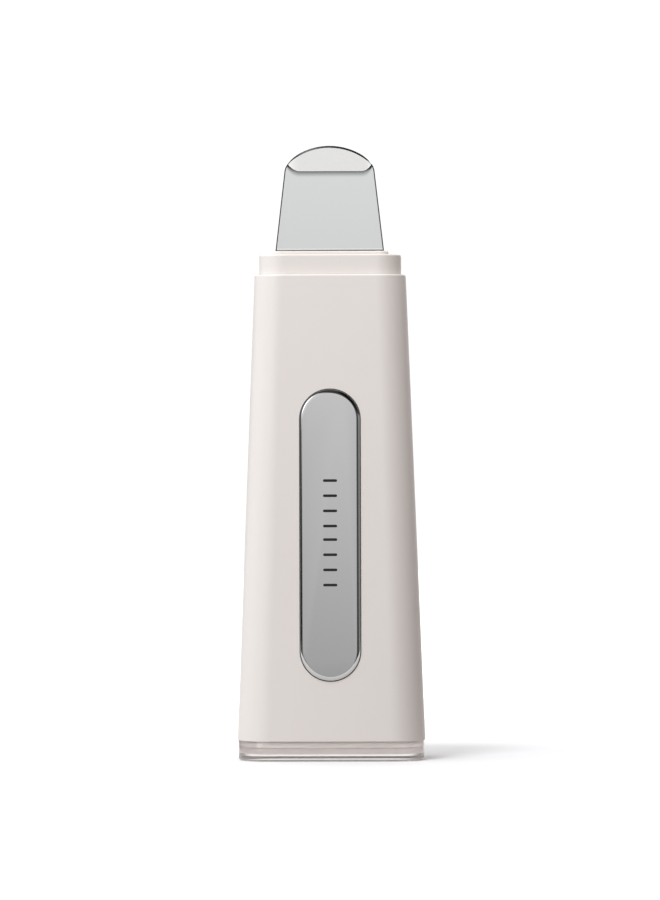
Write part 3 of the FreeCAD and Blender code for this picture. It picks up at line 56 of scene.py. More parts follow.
class Nodes:
    """A small builder over one node tree: each method adds a node and returns its output."""

    def __init__(self, tree):
        self.tree = tree

    def add(self, kind, **settings):
        node = self.tree.nodes.new(kind)
        for name, value in settings.items():
            setattr(node, name, value)
        return node

    def feed(self, socket, value):
        if isinstance(value, bpy.types.NodeSocket):
            self.tree.links.new(value, socket)
        else:
            socket.default_value = value

    def math(self, operation, a, b=0.0):
        node = self.add("ShaderNodeMath", operation=operation)
        for socket, value in zip(node.inputs, (a, b)):
            self.feed(socket, value)
        return node.outputs[0]

    def product(self, first, *others):
        for other in others:
            first = self.math("MULTIPLY", first, other)
        return first

    def inverse(self, value):
        return self.math("SUBTRACT", 1.0, value)

    def dot(self, a, direction):
        node = self.add("ShaderNodeVectorMath", operation="DOT_PRODUCT")
        self.feed(node.inputs[0], a)
        node.inputs[1].default_value = Vector(direction).normalized()
        return node.outputs["Value"]

    def smooth(self, value, low, high, to_low=0.0, to_high=1.0):
        node = self.add("ShaderNodeMapRange", interpolation_type="SMOOTHSTEP")
        self.feed(node.inputs["Value"], value)
        for name, number in (("From Min", low), ("From Max", high), ("To Min", to_low), ("To Max", to_high)):
            self.feed(node.inputs[name], number)
        return node.outputs["Result"]

    def pick(self, flag, otherwise, value):
        """A number: value where flag is 1, otherwise elsewhere."""
        node = self.add("ShaderNodeMix", data_type="FLOAT")
        for index, item in ((0, flag), (2, otherwise), (3, value)):
            self.feed(node.inputs[index], item)
        return node.outputs[0]

    def mix(self, share, a, b):
        node = self.add("ShaderNodeMix", data_type="RGBA")
        self.feed(node.inputs[0], share)
        self.feed(node.inputs[6], a)
        self.feed(node.inputs[7], b)
        return node.outputs[2]

    def noise(self, vector, scale, detail=2.0, rough=0.5):
        node = self.add("ShaderNodeTexNoise")
        self.feed(node.inputs["Vector"], vector)
        node.inputs["Scale"].default_value = scale
        node.inputs["Detail"].default_value = detail
        node.inputs["Roughness"].default_value = rough
        return node.outputs["Fac"]

    def object_coordinates(self, stretch=(1, 1, 1)):
        place = self.add("ShaderNodeTexCoord").outputs["Object"]
        if stretch == (1, 1, 1):
            return place
        node = self.add("ShaderNodeMapping")
        self.feed(node.inputs["Vector"], place)
        node.inputs["Scale"].default_value = stretch
        return node.outputs["Vector"]

    def bump(self, height, distance):
        node = self.add("ShaderNodeBump")
        self.feed(node.inputs["Height"], height)
        node.inputs["Distance"].default_value = distance
        node.inputs["Strength"].default_value = 1.0
        return node.outputs["Normal"]


def colour(red, green, blue):
    """An sRGB colour, 0 to 255, as linear RGBA."""
    def linear(c):
        c /= 255.0
        return c / 12.92 if c <= 0.04045 else ((c + 0.055) / 1.055) ** 2.4
    return (linear(red), linear(green), linear(blue), 1.0)


def shade(base, factor):
    return tuple(min(1.0, c * factor) for c in base[:3]) + (1.0,)


def new_material(name):
    material = bpy.data.materials.new(name)
    material.use_nodes = True
    tree = material.node_tree
    tree.nodes.clear()
    n = Nodes(tree)
    output = n.add("ShaderNodeOutputMaterial")
    shader = n.add("ShaderNodeBsdfPrincipled")
    tree.links.new(shader.outputs["BSDF"], output.inputs["Surface"])
    return material, n, shader


def surface(name, base, rough, metallic=0.0, grain=9000.0, grain_depth=0.004, stretch=(1, 1, 1),
            mottling=0.05, ior=1.5, **extra):
    """A moulded, ground or brushed finish: fine grain in bump and roughness, with soft colour mottling.

    grain is the noise's scale per metre, grain_depth its height in mm, and extra sets other sockets by name.
    """
    material, n, shader = new_material(name)
    fine = n.noise(n.object_coordinates(stretch), grain, detail=3.0, rough=0.6)
    broad = n.noise(n.object_coordinates(), BROAD_MOTTLING, detail=2.0)
    darker, lighter = shade(base, 1.0 - mottling), shade(base, 1.0 + mottling)
    n.feed(shader.inputs["Base Color"], n.mix(broad, darker, lighter))
    n.feed(shader.inputs["Roughness"], n.smooth(fine, 0.3, 0.7, *rough))
    n.feed(shader.inputs["Normal"], n.bump(fine, grain_depth * MM))
    shader.inputs["Metallic"].default_value = metallic
    shader.inputs["IOR"].default_value = ior
    for socket, value in extra.items():
        shader.inputs[socket.replace("_", " ")].default_value = value
    return material


# ------------------------------------------------------------------ materials

WARM_WHITE = colour(228, 224, 221)

MATERIALS = {
    "shell_plastic": surface("satin_white_plastic", WARM_WHITE, (0.30, 0.44), grain=5200, grain_depth=0.006,
                             mottling=0.012),
    "clear_acrylic": surface("clear_acrylic", (0.975, 0.95, 0.945, 1.0), (0.015, 0.05), grain=700,
                             grain_depth=0.002, mottling=0.01, ior=1.49, Transmission_Weight=1.0),
    "cover_plastic": surface("cover_plastic", colour(240, 233, 229), (0.40, 0.55), grain=4200,
                             grain_depth=0.008, mottling=0.02),
    "silicone": surface("white_silicone", colour(226, 221, 216), (0.50, 0.66), grain=3800, grain_depth=0.006,
                        mottling=0.02),
    # the ground edge is rougher steel, and its dark grey is painted shade: it stands in for the dark
    # reflection along the blade's outline
    "ground_edge_painted_dark": surface("ground_edge_painted_dark", colour(128, 128, 128), (0.34, 0.46), metallic=1.0, grain=2600,
                           stretch=(1, 1, 8)),
    "polished_steel": surface("polished_steel", colour(219, 220, 220), (0.10, 0.13), metallic=1.0, grain=2600,
                              grain_depth=0.00015, stretch=(1, 1, 0.4), mottling=0.008),
    "plate_metal": surface("plate_metal", colour(188, 188, 188), (0.06, 0.09), metallic=1.0, grain=3400,
                           grain_depth=0.0003, mottling=0.012),
    "trim_metal": surface("trim_chrome", colour(205, 205, 206), (0.08, 0.14), metallic=1.0, grain=2600,
                          grain_depth=0.001, mottling=0.02),
    "screw_steel": surface("zinc_plated_steel", colour(170, 172, 176), (0.25, 0.4), metallic=1.0, grain=3000,
                           grain_depth=0.003, mottling=0.08),
    "horn_alloy": surface("turned_aluminium", colour(196, 198, 201), (0.22, 0.38), metallic=1.0, grain=1800,
                          grain_depth=0.003, stretch=(0.05, 0.05, 1), mottling=0.04),
    "mass_steel": surface("turned_steel", colour(150, 152, 156), (0.22, 0.38), metallic=1.0, grain=1800,
                          grain_depth=0.003, stretch=(0.05, 0.05, 1), mottling=0.06),
    "piezo": surface("piezo_ceramic", colour(205, 196, 176), (0.55, 0.7), grain=5000, grain_depth=0.005,
                     mottling=0.07),
    "electrode": surface("phosphor_bronze", colour(196, 150, 96), (0.25, 0.4), metallic=1.0, grain=3000,
                         grain_depth=0.002, mottling=0.06),
    "isolator": surface("black_rubber", colour(38, 38, 40), (0.6, 0.8), grain=3500, grain_depth=0.01,
                        mottling=0.2),
    "chassis_plastic": surface("grey_abs", colour(176, 178, 180), (0.42, 0.58), grain=4200, grain_depth=0.01,
                               mottling=0.04),
    "board": surface("green_solder_mask", colour(22, 92, 58), (0.24, 0.36), grain=900, grain_depth=0.01,
                     mottling=0.15),
    "chip": surface("chip_epoxy", colour(30, 30, 32), (0.5, 0.65), grain=5000, grain_depth=0.008,
                    mottling=0.2),
    "ferrite": surface("ferrite", colour(54, 52, 54), (0.5, 0.7), grain=4000, grain_depth=0.01,
                       mottling=0.15),
    "copper": surface("enamelled_copper", colour(176, 92, 48), (0.22, 0.34), metallic=1.0, grain=2400,
                      grain_depth=0.03, stretch=(0.1, 0.1, 1), mottling=0.1),
    "can": surface("aluminium_can", colour(190, 192, 196), (0.25, 0.4), metallic=1.0, grain=3000,
                   grain_depth=0.003, mottling=0.05),
    "lamp": surface("lamp_package", colour(232, 228, 205), (0.3, 0.45), grain=3000, grain_depth=0.003,
                    mottling=0.05),
    "guide": surface("frosted_light_guide", colour(238, 240, 240), (0.35, 0.5), grain=4000, grain_depth=0.006,
                     mottling=0.02, ior=1.49, Transmission_Weight=0.3),
    "socket_metal": surface("socket_steel", colour(188, 190, 194), (0.2, 0.34), metallic=1.0, grain=3000,
                            grain_depth=0.003, mottling=0.05),
    "tongue_plastic": surface("black_nylon", colour(28, 28, 30), (0.45, 0.6), grain=4000, grain_depth=0.008,
                              mottling=0.2),
    "cell_wrap": surface("cell_sleeve", colour(40, 92, 150), (0.28, 0.42), grain=1200, grain_depth=0.01,
                         mottling=0.08),
    "strap": surface("strap_nylon", colour(60, 62, 66), (0.5, 0.7), grain=3500, grain_depth=0.015,
                     mottling=0.12),
    "wire": surface("wire_insulation", colour(168, 34, 32), (0.35, 0.5), grain=2600, grain_depth=0.008,
                    mottling=0.08),
    "print_ink": surface("black_print", colour(12, 12, 13), (0.5, 0.65), grain=5000, grain_depth=0.002,
                         mottling=0.1),
    "gasket": surface("grey_gasket", colour(70, 70, 72), (0.6, 0.78), grain=3500, grain_depth=0.01,
                      mottling=0.1),
}

# each carried-over node takes the finish of the slot that its CAD material is named after
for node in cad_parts.values():
    slot_name = node.data.materials[0].name.split(".")[0]
    node.data.materials.clear()
    node.data.materials.append(MATERIALS[slot_name])

# ------------------------------------------------------------------ mesh helpers


def new_piece(name, mesh, material, body, slot, *replaced, smooth=35.0):
    """A finished mesh as a piece of the object: it rides on a body and takes a slot's finish."""
    piece = bpy.data.objects.new(name, mesh)
    scene.collection.objects.link(piece)
    mesh.materials.append(material)
    mesh.validate()
    mesh.shade_smooth()
    mesh.set_sharp_from_angle(angle=math.radians(smooth))
    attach(piece, body)
    if replaced:
        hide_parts(*replaced)
    return piece


def finished_mesh(name, bm):
    """A mesh from bm with its normals outwards. bm is freed."""
    bmesh.ops.recalc_face_normals(bm, faces=bm.faces)
    mesh = bpy.data.meshes.new(name)
    bm.to_mesh(mesh)
    bm.free()
    return mesh


def skin(bm, rings):
    """Faces between rings of equally many vertices."""
    for low, high in zip(rings, rings[1:]):
        for i in range(len(low)):
            j = (i + 1) % len(low)
            bm.faces.new((low[i], low[j], high[j], high[i]))


def mesh_of_loops(name, loops, closed_ends=True):
    """A skin through closed loops of equally many points, with its two ends closed or left to meet."""
    bm = bmesh.new()
    rings = [[bm.verts.new(point) for point in loop] for loop in loops]
    skin(bm, rings)
    if closed_ends:
        bm.faces.new(list(reversed(rings[0])))
        bm.faces.new(rings[-1])
    bmesh.ops.remove_doubles(bm, verts=bm.verts, dist=SAME_PLACE)
    return finished_mesh(name, bm)


def rounded_rectangle(width, depth, corner, steps=20):
    """Points of a rounded rectangle in the plane, counter-clockwise from the right side."""
    points = []
    for turn, (sx, sy) in enumerate(((1, 1), (-1, 1), (-1, -1), (1, -1))):
        centre = Vector((sx * (width / 2 - corner), sy * (depth / 2 - corner)))
        for step in range(steps + 1):
            angle = math.radians(90.0 * (turn + step / steps))
            points.append(centre + corner * Vector((math.cos(angle), math.sin(angle))))
    return points


# ------------------------------------------------------------------ clear base and its insert

base_low, base_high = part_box("clear_base")
BASE_WIDTH = base_high.x - base_low.x
BASE_DEPTH = base_high.y - base_low.y
BASE_TOP = base_high.z
BASE_CORNER = 8.35 * MM
SMALLEST_CORNER = 0.4 * MM
BASE_ROUND = 0.7 * MM
BASE_ROUND_STEPS = 10
PLUG_HALF_WIDTH = 22.9 * MM


def base_loop(inset, height):
    """The foot's rounded rectangle, drawn in by inset, at a height."""
    corner = max(BASE_CORNER - inset, SMALLEST_CORNER)
    outline = rounded_rectangle(BASE_WIDTH - 2 * inset, BASE_DEPTH - 2 * inset, corner)
    return [(p.x, p.y, height) for p in outline]


def rounded_lower_edge(radius, steps):
    """Inset and height along a rounded lower edge, from the underside up to the wall."""
    angles = [math.radians(90.0 * step / steps) for step in range(steps + 1)]
    return [(radius * (1 - math.sin(angle)), radius * (1 - math.cos(angle))) for angle in angles]


def make_base():
    """The clear block: a rounded lower edge, a straight wall and a softened top edge."""
    softened_top = ((0.0, 0.28), (0.06, 0.13), (0.2, 0.04))
    profile = rounded_lower_edge(BASE_ROUND, BASE_ROUND_STEPS)
    profile += [(inset * MM, BASE_TOP - below * MM) for inset, below in softened_top]
    mesh = mesh_of_loops("clear_base_block", [base_loop(*pair) for pair in profile])
    new_piece("clear_base_block", mesh, MATERIALS["clear_acrylic"], "handset", "clear_acrylic", "clear_base")


def make_insert():
    """The stepped cover, set into the clear block: a wide band over a narrower one, and its plug above."""
    low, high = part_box("bottom_cover")
    step = low.z + 1.75 * MM
    wide, edge = 1.15 * MM, 0.12 * MM
    narrow = wide + 0.5 * MM
    underside = narrow + 1.1 * MM
    band_top, shoulder = BASE_TOP - 0.30 * MM, BASE_TOP - 0.06 * MM
    plug = BASE_WIDTH / 2 - PLUG_HALF_WIDTH
    inside, inside_edge = plug + 2.0 * MM, plug + 1.9 * MM
    profile = [
        (underside + edge, low.z), (underside, low.z + edge),
        (narrow, step - edge), (narrow + edge, step), (wide + edge, step), (wide, step + edge),
        (wide, band_top), (wide + edge, shoulder), (plug, shoulder),
        (plug, high.z - edge), (plug + edge, high.z), (inside_edge, high.z), (inside, high.z - edge),
        (inside, step),
    ]
    mesh = mesh_of_loops("stepped_insert", [base_loop(*pair) for pair in profile])
    new_piece("stepped_insert", mesh, MATERIALS["cover_plastic"], "handset", "cover_plastic", "bottom_cover")


make_base()
make_insert()

# ------------------------------------------------------------------ blade

TIP_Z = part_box("blade")[1].z
FOOT_Z = 136.0 * MM
FOOT_HALF = 14.8 * MM
TIP_ARC = 17.4 * MM
TIP_CORNER = 4.5 * MM
TIP_HALF = 12.25 * MM
TIP_SHOULDER = TIP_Z - 7.0 * MM
CORNER_REACH = 6.0 * MM
SEARCH_STEPS = 2000
SIDE_STEPS, CORNER_STEPS, TIP_STEPS = 60, 40, 60

BLADE_THICK = 0.9 * MM
BLADE_SHIFT = -0.2 * MM
GROUND_EDGE = 0.32 * MM
BLADE_COLUMNS = 120
SLOPE_STEP = 0.02 * MM

# the sheet bends forward in two turns: a slow one up to the crease, then a quick one to its full tilt
CREASE_Z = 158.5 * MM
SLOW_TURN = 1.7 * MM
QUICK_TURN = 0.30 * MM
FIRST_SLOPE = math.tan(math.radians(10.0))
FULL_SLOPE = math.tan(math.radians(30.0))

# the crease curls up and spreads towards the sides, more so on the left:
# radius of the curl, where it starts from the middle, and how much longer the quick turn gets
LEFT_CURL = (4.2 * MM, 7.9 * MM, 1.6 * MM)
RIGHT_CURL = (3.0 * MM, 8.6 * MM, 0.7 * MM)
CURL_LIMIT = 0.97

# the foot flares forward a little where it enters the pad
FLARE_TOP = 137.4 * MM
FLARE_HEIGHT = 0.5 * MM
FLARE = 0.06 * MM


def arc(centre, radius, start, end, steps):
    """Points and normals along an arc, without its last point."""
    points = []
    for step in range(steps):
        angle = start + (end - start) * step / steps
        normal = Vector((math.cos(angle), math.sin(angle)))
        points.append((centre + radius * normal, normal))
    return points


def blade_outline():
    """Right-hand outline from foot to apex: straight side, small corner arc, large tip arc, with normals."""
    slope = math.atan2(FOOT_HALF - TIP_HALF, TIP_SHOULDER - FOOT_Z)
    side_normal = Vector((math.cos(slope), math.sin(slope)))
    # the corner arc touches the side line and the tip arc, whose middle is under the apex
    tip_centre = Vector((0.0, TIP_Z - TIP_ARC))
    candidates = []
    for step in range(SEARCH_STEPS + 1):
        z = FOOT_Z + (TIP_Z - FOOT_Z) * step / SEARCH_STEPS
        if z > TIP_SHOULDER - CORNER_REACH:
            centre = Vector((FOOT_HALF - (z - FOOT_Z) * math.tan(slope) - TIP_CORNER / math.cos(slope), z))
            candidates.append((abs((centre - tip_centre).length - (TIP_ARC - TIP_CORNER)), z, centre))
    corner_centre = min(candidates, key=lambda candidate: candidate[0])[2]
    end_normal = (corner_centre - tip_centre).normalized()
    corner_end = math.atan2(end_normal.y, end_normal.x)
    foot = Vector((FOOT_HALF, FOOT_Z))
    start = corner_centre + TIP_CORNER * side_normal
    side = [(foot.lerp(start, step / SIDE_STEPS), side_normal) for step in range(SIDE_STEPS)]
    corner_start = math.atan2(side_normal.y, side_normal.x)
    corner = arc(corner_centre, TIP_CORNER, corner_start, corner_end, CORNER_STEPS)
    return side + corner + arc(tip_centre, TIP_ARC, corner_end, math.pi / 2, TIP_STEPS)


def bend_depth(x, z):
    """How far the blade stands forward: a flared foot, a slow turn up to the crease, then the tilted tip."""
    curl, flat, swell = LEFT_CURL if x < 0 else RIGHT_CURL
    side = min(max(0.0, abs(x) - flat), CURL_LIMIT * curl)
    above = z - (CREASE_Z + curl - math.sqrt(curl * curl - side * side))
    quick = QUICK_TURN + swell * (side / curl) ** 2
    if above < -SLOW_TURN:
        flare = max(0.0, (FLARE_TOP - z) / FLARE_HEIGHT)
        return FLARE * flare * flare
    if above < 0:
        share = (above + SLOW_TURN) / SLOW_TURN
        return FIRST_SLOPE * SLOW_TURN * share * share * share / 3
    depth = FIRST_SLOPE * SLOW_TURN / 3
    if above < quick:
        share = above / quick
        return depth + FIRST_SLOPE * above + (FULL_SLOPE - FIRST_SLOPE) * quick * share * share / 2
    at_tilt = depth + FIRST_SLOPE * quick + (FULL_SLOPE - FIRST_SLOPE) * quick / 2
    return at_tilt + FULL_SLOPE * (above - quick)


def blade_point(x, z, back):
    """A point of the bent sheet: back is how far it lies behind the front face, along the face's normal."""
    slope_x = (bend_depth(x + SLOPE_STEP, z) - bend_depth(x - SLOPE_STEP, z)) / (2 * SLOPE_STEP)
    slope_z = (bend_depth(x, z + SLOPE_STEP) - bend_depth(x, z - SLOPE_STEP)) / (2 * SLOPE_STEP)
    normal = Vector((slope_x, 1.0, slope_z)).normalized()
    return Vector((x + BLADE_SHIFT, -bend_depth(x, z) - BLADE_THICK / 2, z)) + back * normal


def make_blade():
    """The sheet: a front and a back face of rows, and between them a ground edge that comes to a ridge."""
    outline = blade_outline()
    columns = range(BLADE_COLUMNS + 1)
    shares = [math.sin(math.radians(90.0 * (1.0 - 2.0 * column / BLADE_COLUMNS))) for column in columns]
    bm = bmesh.new()

    def face_rows(back):
        """The rows of one face, drawn in from the outline by the ground edge."""
        rows = []
        for point, normal in outline:
            p = point - GROUND_EDGE * normal
            rows.append([bm.verts.new(blade_point(p.x * share, p.y, back)) for share in shares])
        return rows

    def ridge():
        """The outermost ring, half way through the sheet: up the right, across the top and down the left."""
        points = [point for point, _ in outline]
        top = points[-1]
        ring = [bm.verts.new(blade_point(p.x, p.y, BLADE_THICK / 2)) for p in points]
        ring += [bm.verts.new(blade_point(top.x * share, top.y, BLADE_THICK / 2)) for share in shares[1:-1]]
        ring += [bm.verts.new(blade_point(-p.x, p.y, BLADE_THICK / 2)) for p in reversed(points)]
        return ring

    def border(rows):
        return [row[0] for row in rows] + rows[-1][1:-1] + [row[-1] for row in reversed(rows)]

    front, back = face_rows(0.0), face_rows(BLADE_THICK)
    for rows in (front, back):
        for low, high in zip(rows, rows[1:]):
            for i in range(BLADE_COLUMNS):
                bm.faces.new((low[i], low[i + 1], high[i + 1], high[i]))
    rings = [border(front), ridge(), border(back)]
    for a, b in zip(rings, rings[1:]):
        for i in range(len(a) - 1):
            bm.faces.new((a[i], a[i + 1], b[i + 1], b[i])).material_index = 1
    bmesh.ops.holes_fill(bm, edges=[e for e in bm.edges if e.is_boundary], sides=0)
    mesh = finished_mesh("blade_sheet", bm)
    blade = new_piece("blade_sheet", mesh, MATERIALS["polished_steel"], "handset", "polished_steel", "blade",
                      smooth=50.0)
    # the edge faces take the darkened steel, a painted dark outline round the blade
    blade.data.materials.append(MATERIALS["ground_edge_painted_dark"])


make_blade()

# ------------------------------------------------------------------ contact plate and its printed mark

# the front face leans back from its foot, by this much over the shell's height
LEAN = math.atan2(2.6, 124.9)
FRONT_FOOT = -16.1 * MM
PLATE_MIDDLE = 60.5 * MM
PLATE_WIDTH = 16.05 * MM
PLATE_LENGTH = 77.95 * MM
PLATE_PROUD = 0.45 * MM
PLATE_FACE = PLATE_PROUD + 0.02 * MM


def on_front(x, along, out):
    """A point over the leaning front face: sideways, up along the face, and out from it."""
    z = PLATE_MIDDLE + along * math.cos(LEAN) + out * math.sin(LEAN)
    face = FRONT_FOOT + (PLATE_MIDDLE - BASE_TOP) * math.tan(LEAN)
    y = face + along * math.sin(LEAN) - out * math.cos(LEAN)
    return Vector((x, y, z))


def pill_loop(inset, out, steps=32, side_steps=20):
    """The plate's outline drawn in by inset, at a height out from the front face."""
    radius = PLATE_WIDTH / 2 - inset
    straight = (PLATE_LENGTH - PLATE_WIDTH) / 2
    points = []
    for end, start in ((1, 0.0), (-1, 180.0)):
        for step in range(steps + 1):
            angle = math.radians(start + 180.0 * step / steps)
            points.append(on_front(radius * math.cos(angle), end * straight + radius * math.sin(angle), out))
        for step in range(1, side_steps):
            points.append(on_front(-end * radius, end * straight * (1 - 2 * step / side_steps), out))
    return points


def make_plate():
    """The plate: a short skirt in its seat, a rolled rim and a face with a very slight crown at its edge."""
    rim, drop, steps = 0.84 * MM, 0.38 * MM, 12
    first, last = 8.0, 80.0
    skirt = ((0.25, -0.75), (0.0, -0.75), (0.0, -0.12))
    profile = [(inset * MM, out * MM) for inset, out in skirt]
    low, high = math.sin(math.radians(first)), math.sin(math.radians(last))
    for step in range(steps + 1):
        angle = math.radians(first + (last - first) * step / steps)
        lean_in = (1 - math.cos(angle)) / (1 - math.cos(math.radians(last)))
        profile.append((rim * lean_in, PLATE_PROUD - drop + drop * (math.sin(angle) - low) / (high - low)))
    profile += [(rim + 0.12 * MM, PLATE_PROUD + 0.015 * MM), (rim + 0.3 * MM, PLATE_FACE)]
    mesh = mesh_of_loops("contact_plate_shell", [pill_loop(*pair) for pair in profile])
    new_piece("contact_plate_shell", mesh, MATERIALS["plate_metal"], "handset", "plate_metal",
              "contact_plate", smooth=25.0)


def make_gasket_lip():
    """The gasket's dark edge, which shows as a thin line all round the plate: partly the gasket's own grey,
    and partly painted shade, as the dark lip drawn over the gap stands in for the shade in that gap.
    """
    section = ((-0.24, -0.10), (-0.24, 0.02), (-0.18, 0.05), (0.03, 0.05), (0.03, -0.10))
    loops = [pill_loop(inset * MM, out * MM) for inset, out in section]
    mesh = mesh_of_loops("gasket_lip_and_gap_shade", loops + loops[:1], closed_ends=False)
    new_piece("gasket_lip_and_gap_shade", mesh, MATERIALS["gasket"], "handset", "gasket")


def bar_loop(along, half, thick, out, steps=8):
    """A round-ended bar across the plate: half its length, and half its thickness."""
    points = []
    for end, start in ((1, -90.0), (-1, 90.0)):
        for step in range(steps + 1):
            angle = math.radians(start + 180.0 * step / steps)
            x = end * (half - thick) + thick * math.cos(angle)
            points.append(on_front(x, along + thick * math.sin(angle), out))
    return points


def make_mark():
    """A generic touch mark: two groups of four short printed bars."""
    half, thick, depth = 1.9 * MM, 0.36 * MM, 0.03 * MM
    pitch, gap, middle = 4.05 * MM, 2.9 * MM, 0.6 * MM
    bars = 4
    bm = bmesh.new()
    for group in (1, -1):
        for index in range(bars):
            along = middle + group * (gap / 2 + pitch * index + thick)
            rings = []
            for out in (PLATE_FACE, PLATE_FACE + depth):
                rings.append([bm.verts.new(point) for point in bar_loop(along, half, thick, out)])
            skin(bm, rings)
            bm.faces.new(rings[1])
            bm.faces.new(list(reversed(rings[0])))
    new_piece("plate_mark", finished_mesh("plate_mark", bm), MATERIALS["print_ink"], "handset", "plate_metal")


make_plate()
make_gasket_lip()
make_mark()

# ------------------------------------------------------------------ stage

FLOOR_GAP = 0.03 * MM
FLOOR_SIDE, FLOOR_FRONT, FLOOR_BACK = 1.6, -0.26, 2.2
WHITE = (1.0, 1.0, 1.0, 1.0)
COOL_PALE, COOL_PALER = (0.752, 0.765, 0.785, 1.0), (0.762, 0.775, 0.795, 1.0)
# the second bounce colour is painted shadow: matt surfaces see the floor just right of the object much darker
BOUNCE, BOUNCE_IN_PAINTED_SHADOW = (0.38, 0.365, 0.36, 1.0), (0.05, 0.04, 0.035, 1.0)
FLOOR_FOR_GLOSS = (0.70, 0.70, 0.70, 1.0)
FLOOR_FOR_CLEAR = (0.20, 0.19, 0.19, 1.0)
CLEAR_GLOW = 0.56


def floor_colour(n, path, fine, x):
    """Pale to the camera and to gloss, and dark to clear pieces.

    Matt surfaces get a weak bounce, and almost none from the floor just right of the object, where the
    floor's colour is darkened as a painted shadow.
    """
    pale = n.mix(fine, COOL_PALE, COOL_PALER)
    # painted shadow: a strip of floor right of the object is darkened for matt bounce, standing in for the
    # shade that falls there
    painted_shadow_right = n.smooth(n.math("ABSOLUTE", n.math("SUBTRACT", x, 0.15)), 0.08, 0.16, 1.0, 0.0)
    bounce = n.mix(painted_shadow_right, BOUNCE, BOUNCE_IN_PAINTED_SHADOW)
    pale = n.mix(path["Is Diffuse Ray"], pale, bounce)
    pale = n.mix(path["Is Glossy Ray"], pale, FLOOR_FOR_GLOSS)
    return n.mix(path["Is Transmission Ray"], pale, FLOOR_FOR_CLEAR)


def floor_glow(n, path, distance, y):
    """The floor brightens away from the object until it meets the white backdrop without an edge."""
    glow = n.product(n.inverse(path["Is Diffuse Ray"]), n.smooth(distance, 0.06, 0.45, 0.0, 0.60))
    # polished steel seen from behind would burn out if gloss saw the glow of the floor there
    dull_behind = n.product(path["Is Glossy Ray"], n.smooth(y, 0.0, 0.12))
    glow = n.product(glow, n.inverse(dull_behind))
    # clear pieces see the floor glow, as the shadow under the foot would show dark through it
    return n.math("MAXIMUM", glow, n.product(path["Is Transmission Ray"], CLEAR_GLOW))


def make_floor():
    mesh = bpy.data.meshes.new("floor")
    corners = ((-FLOOR_SIDE, FLOOR_FRONT), (FLOOR_SIDE, FLOOR_FRONT), (FLOOR_SIDE, FLOOR_BACK),
               (-FLOOR_SIDE, FLOOR_BACK))
    mesh.from_pydata([(x, y, -FLOOR_GAP) for x, y in corners], [], [(0, 1, 2, 3)])
    floor = bpy.data.objects.new("floor", mesh)
    scene.collection.objects.link(floor)
    material, n, shader = new_material("pale_floor")
    fine = n.noise(n.object_coordinates(), 900.0, detail=2.0)
    across = n.add("ShaderNodeSeparateXYZ")
    n.feed(across.inputs[0], n.object_coordinates())
    away = n.add("ShaderNodeVectorMath", operation="LENGTH")
    n.feed(away.inputs[0], n.object_coordinates())
    path = n.add("ShaderNodeLightPath").outputs
    n.feed(shader.inputs["Base Color"], floor_colour(n, path, fine, across.outputs[0]))
    n.feed(shader.inputs["Roughness"], n.smooth(fine, 0.3, 0.7, 0.75, 0.85))
    shader.inputs["Specular IOR Level"].default_value = 0.1
    shader.inputs["Emission Color"].default_value = WHITE
    n.feed(shader.inputs["Emission Strength"], floor_glow(n, path, away.outputs["Value"], across.outputs[1]))
    mesh.materials.append(material)


make_floor()

# ------------------------------------------------------------------ light

BACKDROP = 1.05
WARM = (1.0, 0.86, 0.80, 1.0)
TO_THE_RIGHT = (1.0, -0.25, 0.1)
TO_THE_LEFT_REAR = (-1.0, 0.42, 0.0)
TOWARDS_GLINT = (-0.58, -0.70, 0.42)
TOWARDS_LEFT_STRIP = (-0.83, -0.56, 0.0)


def gloss_sees(w, direction, x, y, z, right):
    """A bright horizon under a dark ceiling, with dark flags at the sides and one small bright card."""
    horizon = w.smooth(z, -0.067, 0.121, 0.584, 1.144)
    below = w.smooth(z, -0.22, -0.06, 0.50, 1.0)
    # the ceiling is darkest in front, lighter straight up and lightest behind, and starts higher at the left
    ceiling = w.smooth(y, 0.30, 0.55, 0.06, 0.5)
    ceiling = w.math("MAXIMUM", ceiling, w.smooth(z, 0.80, 0.97, 0.0, 0.24))
    aside = w.math("MAXIMUM", w.math("MINIMUM", w.product(x, 1.6), 0.0), -0.41)
    ceiling = w.smooth(w.math("ADD", z, aside), 0.10, 0.23, 1.0, ceiling)
    # the right-hand flag is nearly black and then grey, but only grey beside and behind the object
    right_flag = w.math("ADD", w.smooth(right, 0.32, 0.46, 1.0, 0.10), w.smooth(right, 0.66, 0.80, 0.0, 0.36))
    right_flag = w.math("MAXIMUM", right_flag, w.smooth(y, -0.45, -0.25, 0.0, 0.46))
    rear_flag = w.smooth(w.dot(direction, TO_THE_LEFT_REAR), 0.30, 0.48, 1.0, 0.10)
    low_flag = w.math("MAXIMUM", w.smooth(x, -0.40, -0.10, 0.15, 1.0), w.smooth(z, -0.14, -0.05))
    glint = w.smooth(w.dot(direction, TOWARDS_GLINT), 0.94, 0.985, 1.0, 2.8)
    left_strip = w.product(w.smooth(w.dot(direction, TOWARDS_LEFT_STRIP), 0.80, 0.92, 0.0, 1.0),
                           w.smooth(z, 0.030, 0.050, 1.0, 0.0))
    unlit = w.inverse(w.product(left_strip, 0.95))
    return w.product(horizon, below, ceiling, right_flag, rear_flag, low_flag, glint, unlit)


def matt_sees(w, y, z, right):
    """Soft light: dim from the right, brighter from above and a touch brighter from in front."""
    across = w.smooth(right, -0.1, 0.95, 0.97, 0.34)
    height = w.smooth(z, 0.0, 0.85, 0.92, 1.55)
    front = w.smooth(y, -0.9, -0.3, 1.08, 1.0)
    return w.product(across, height, front)


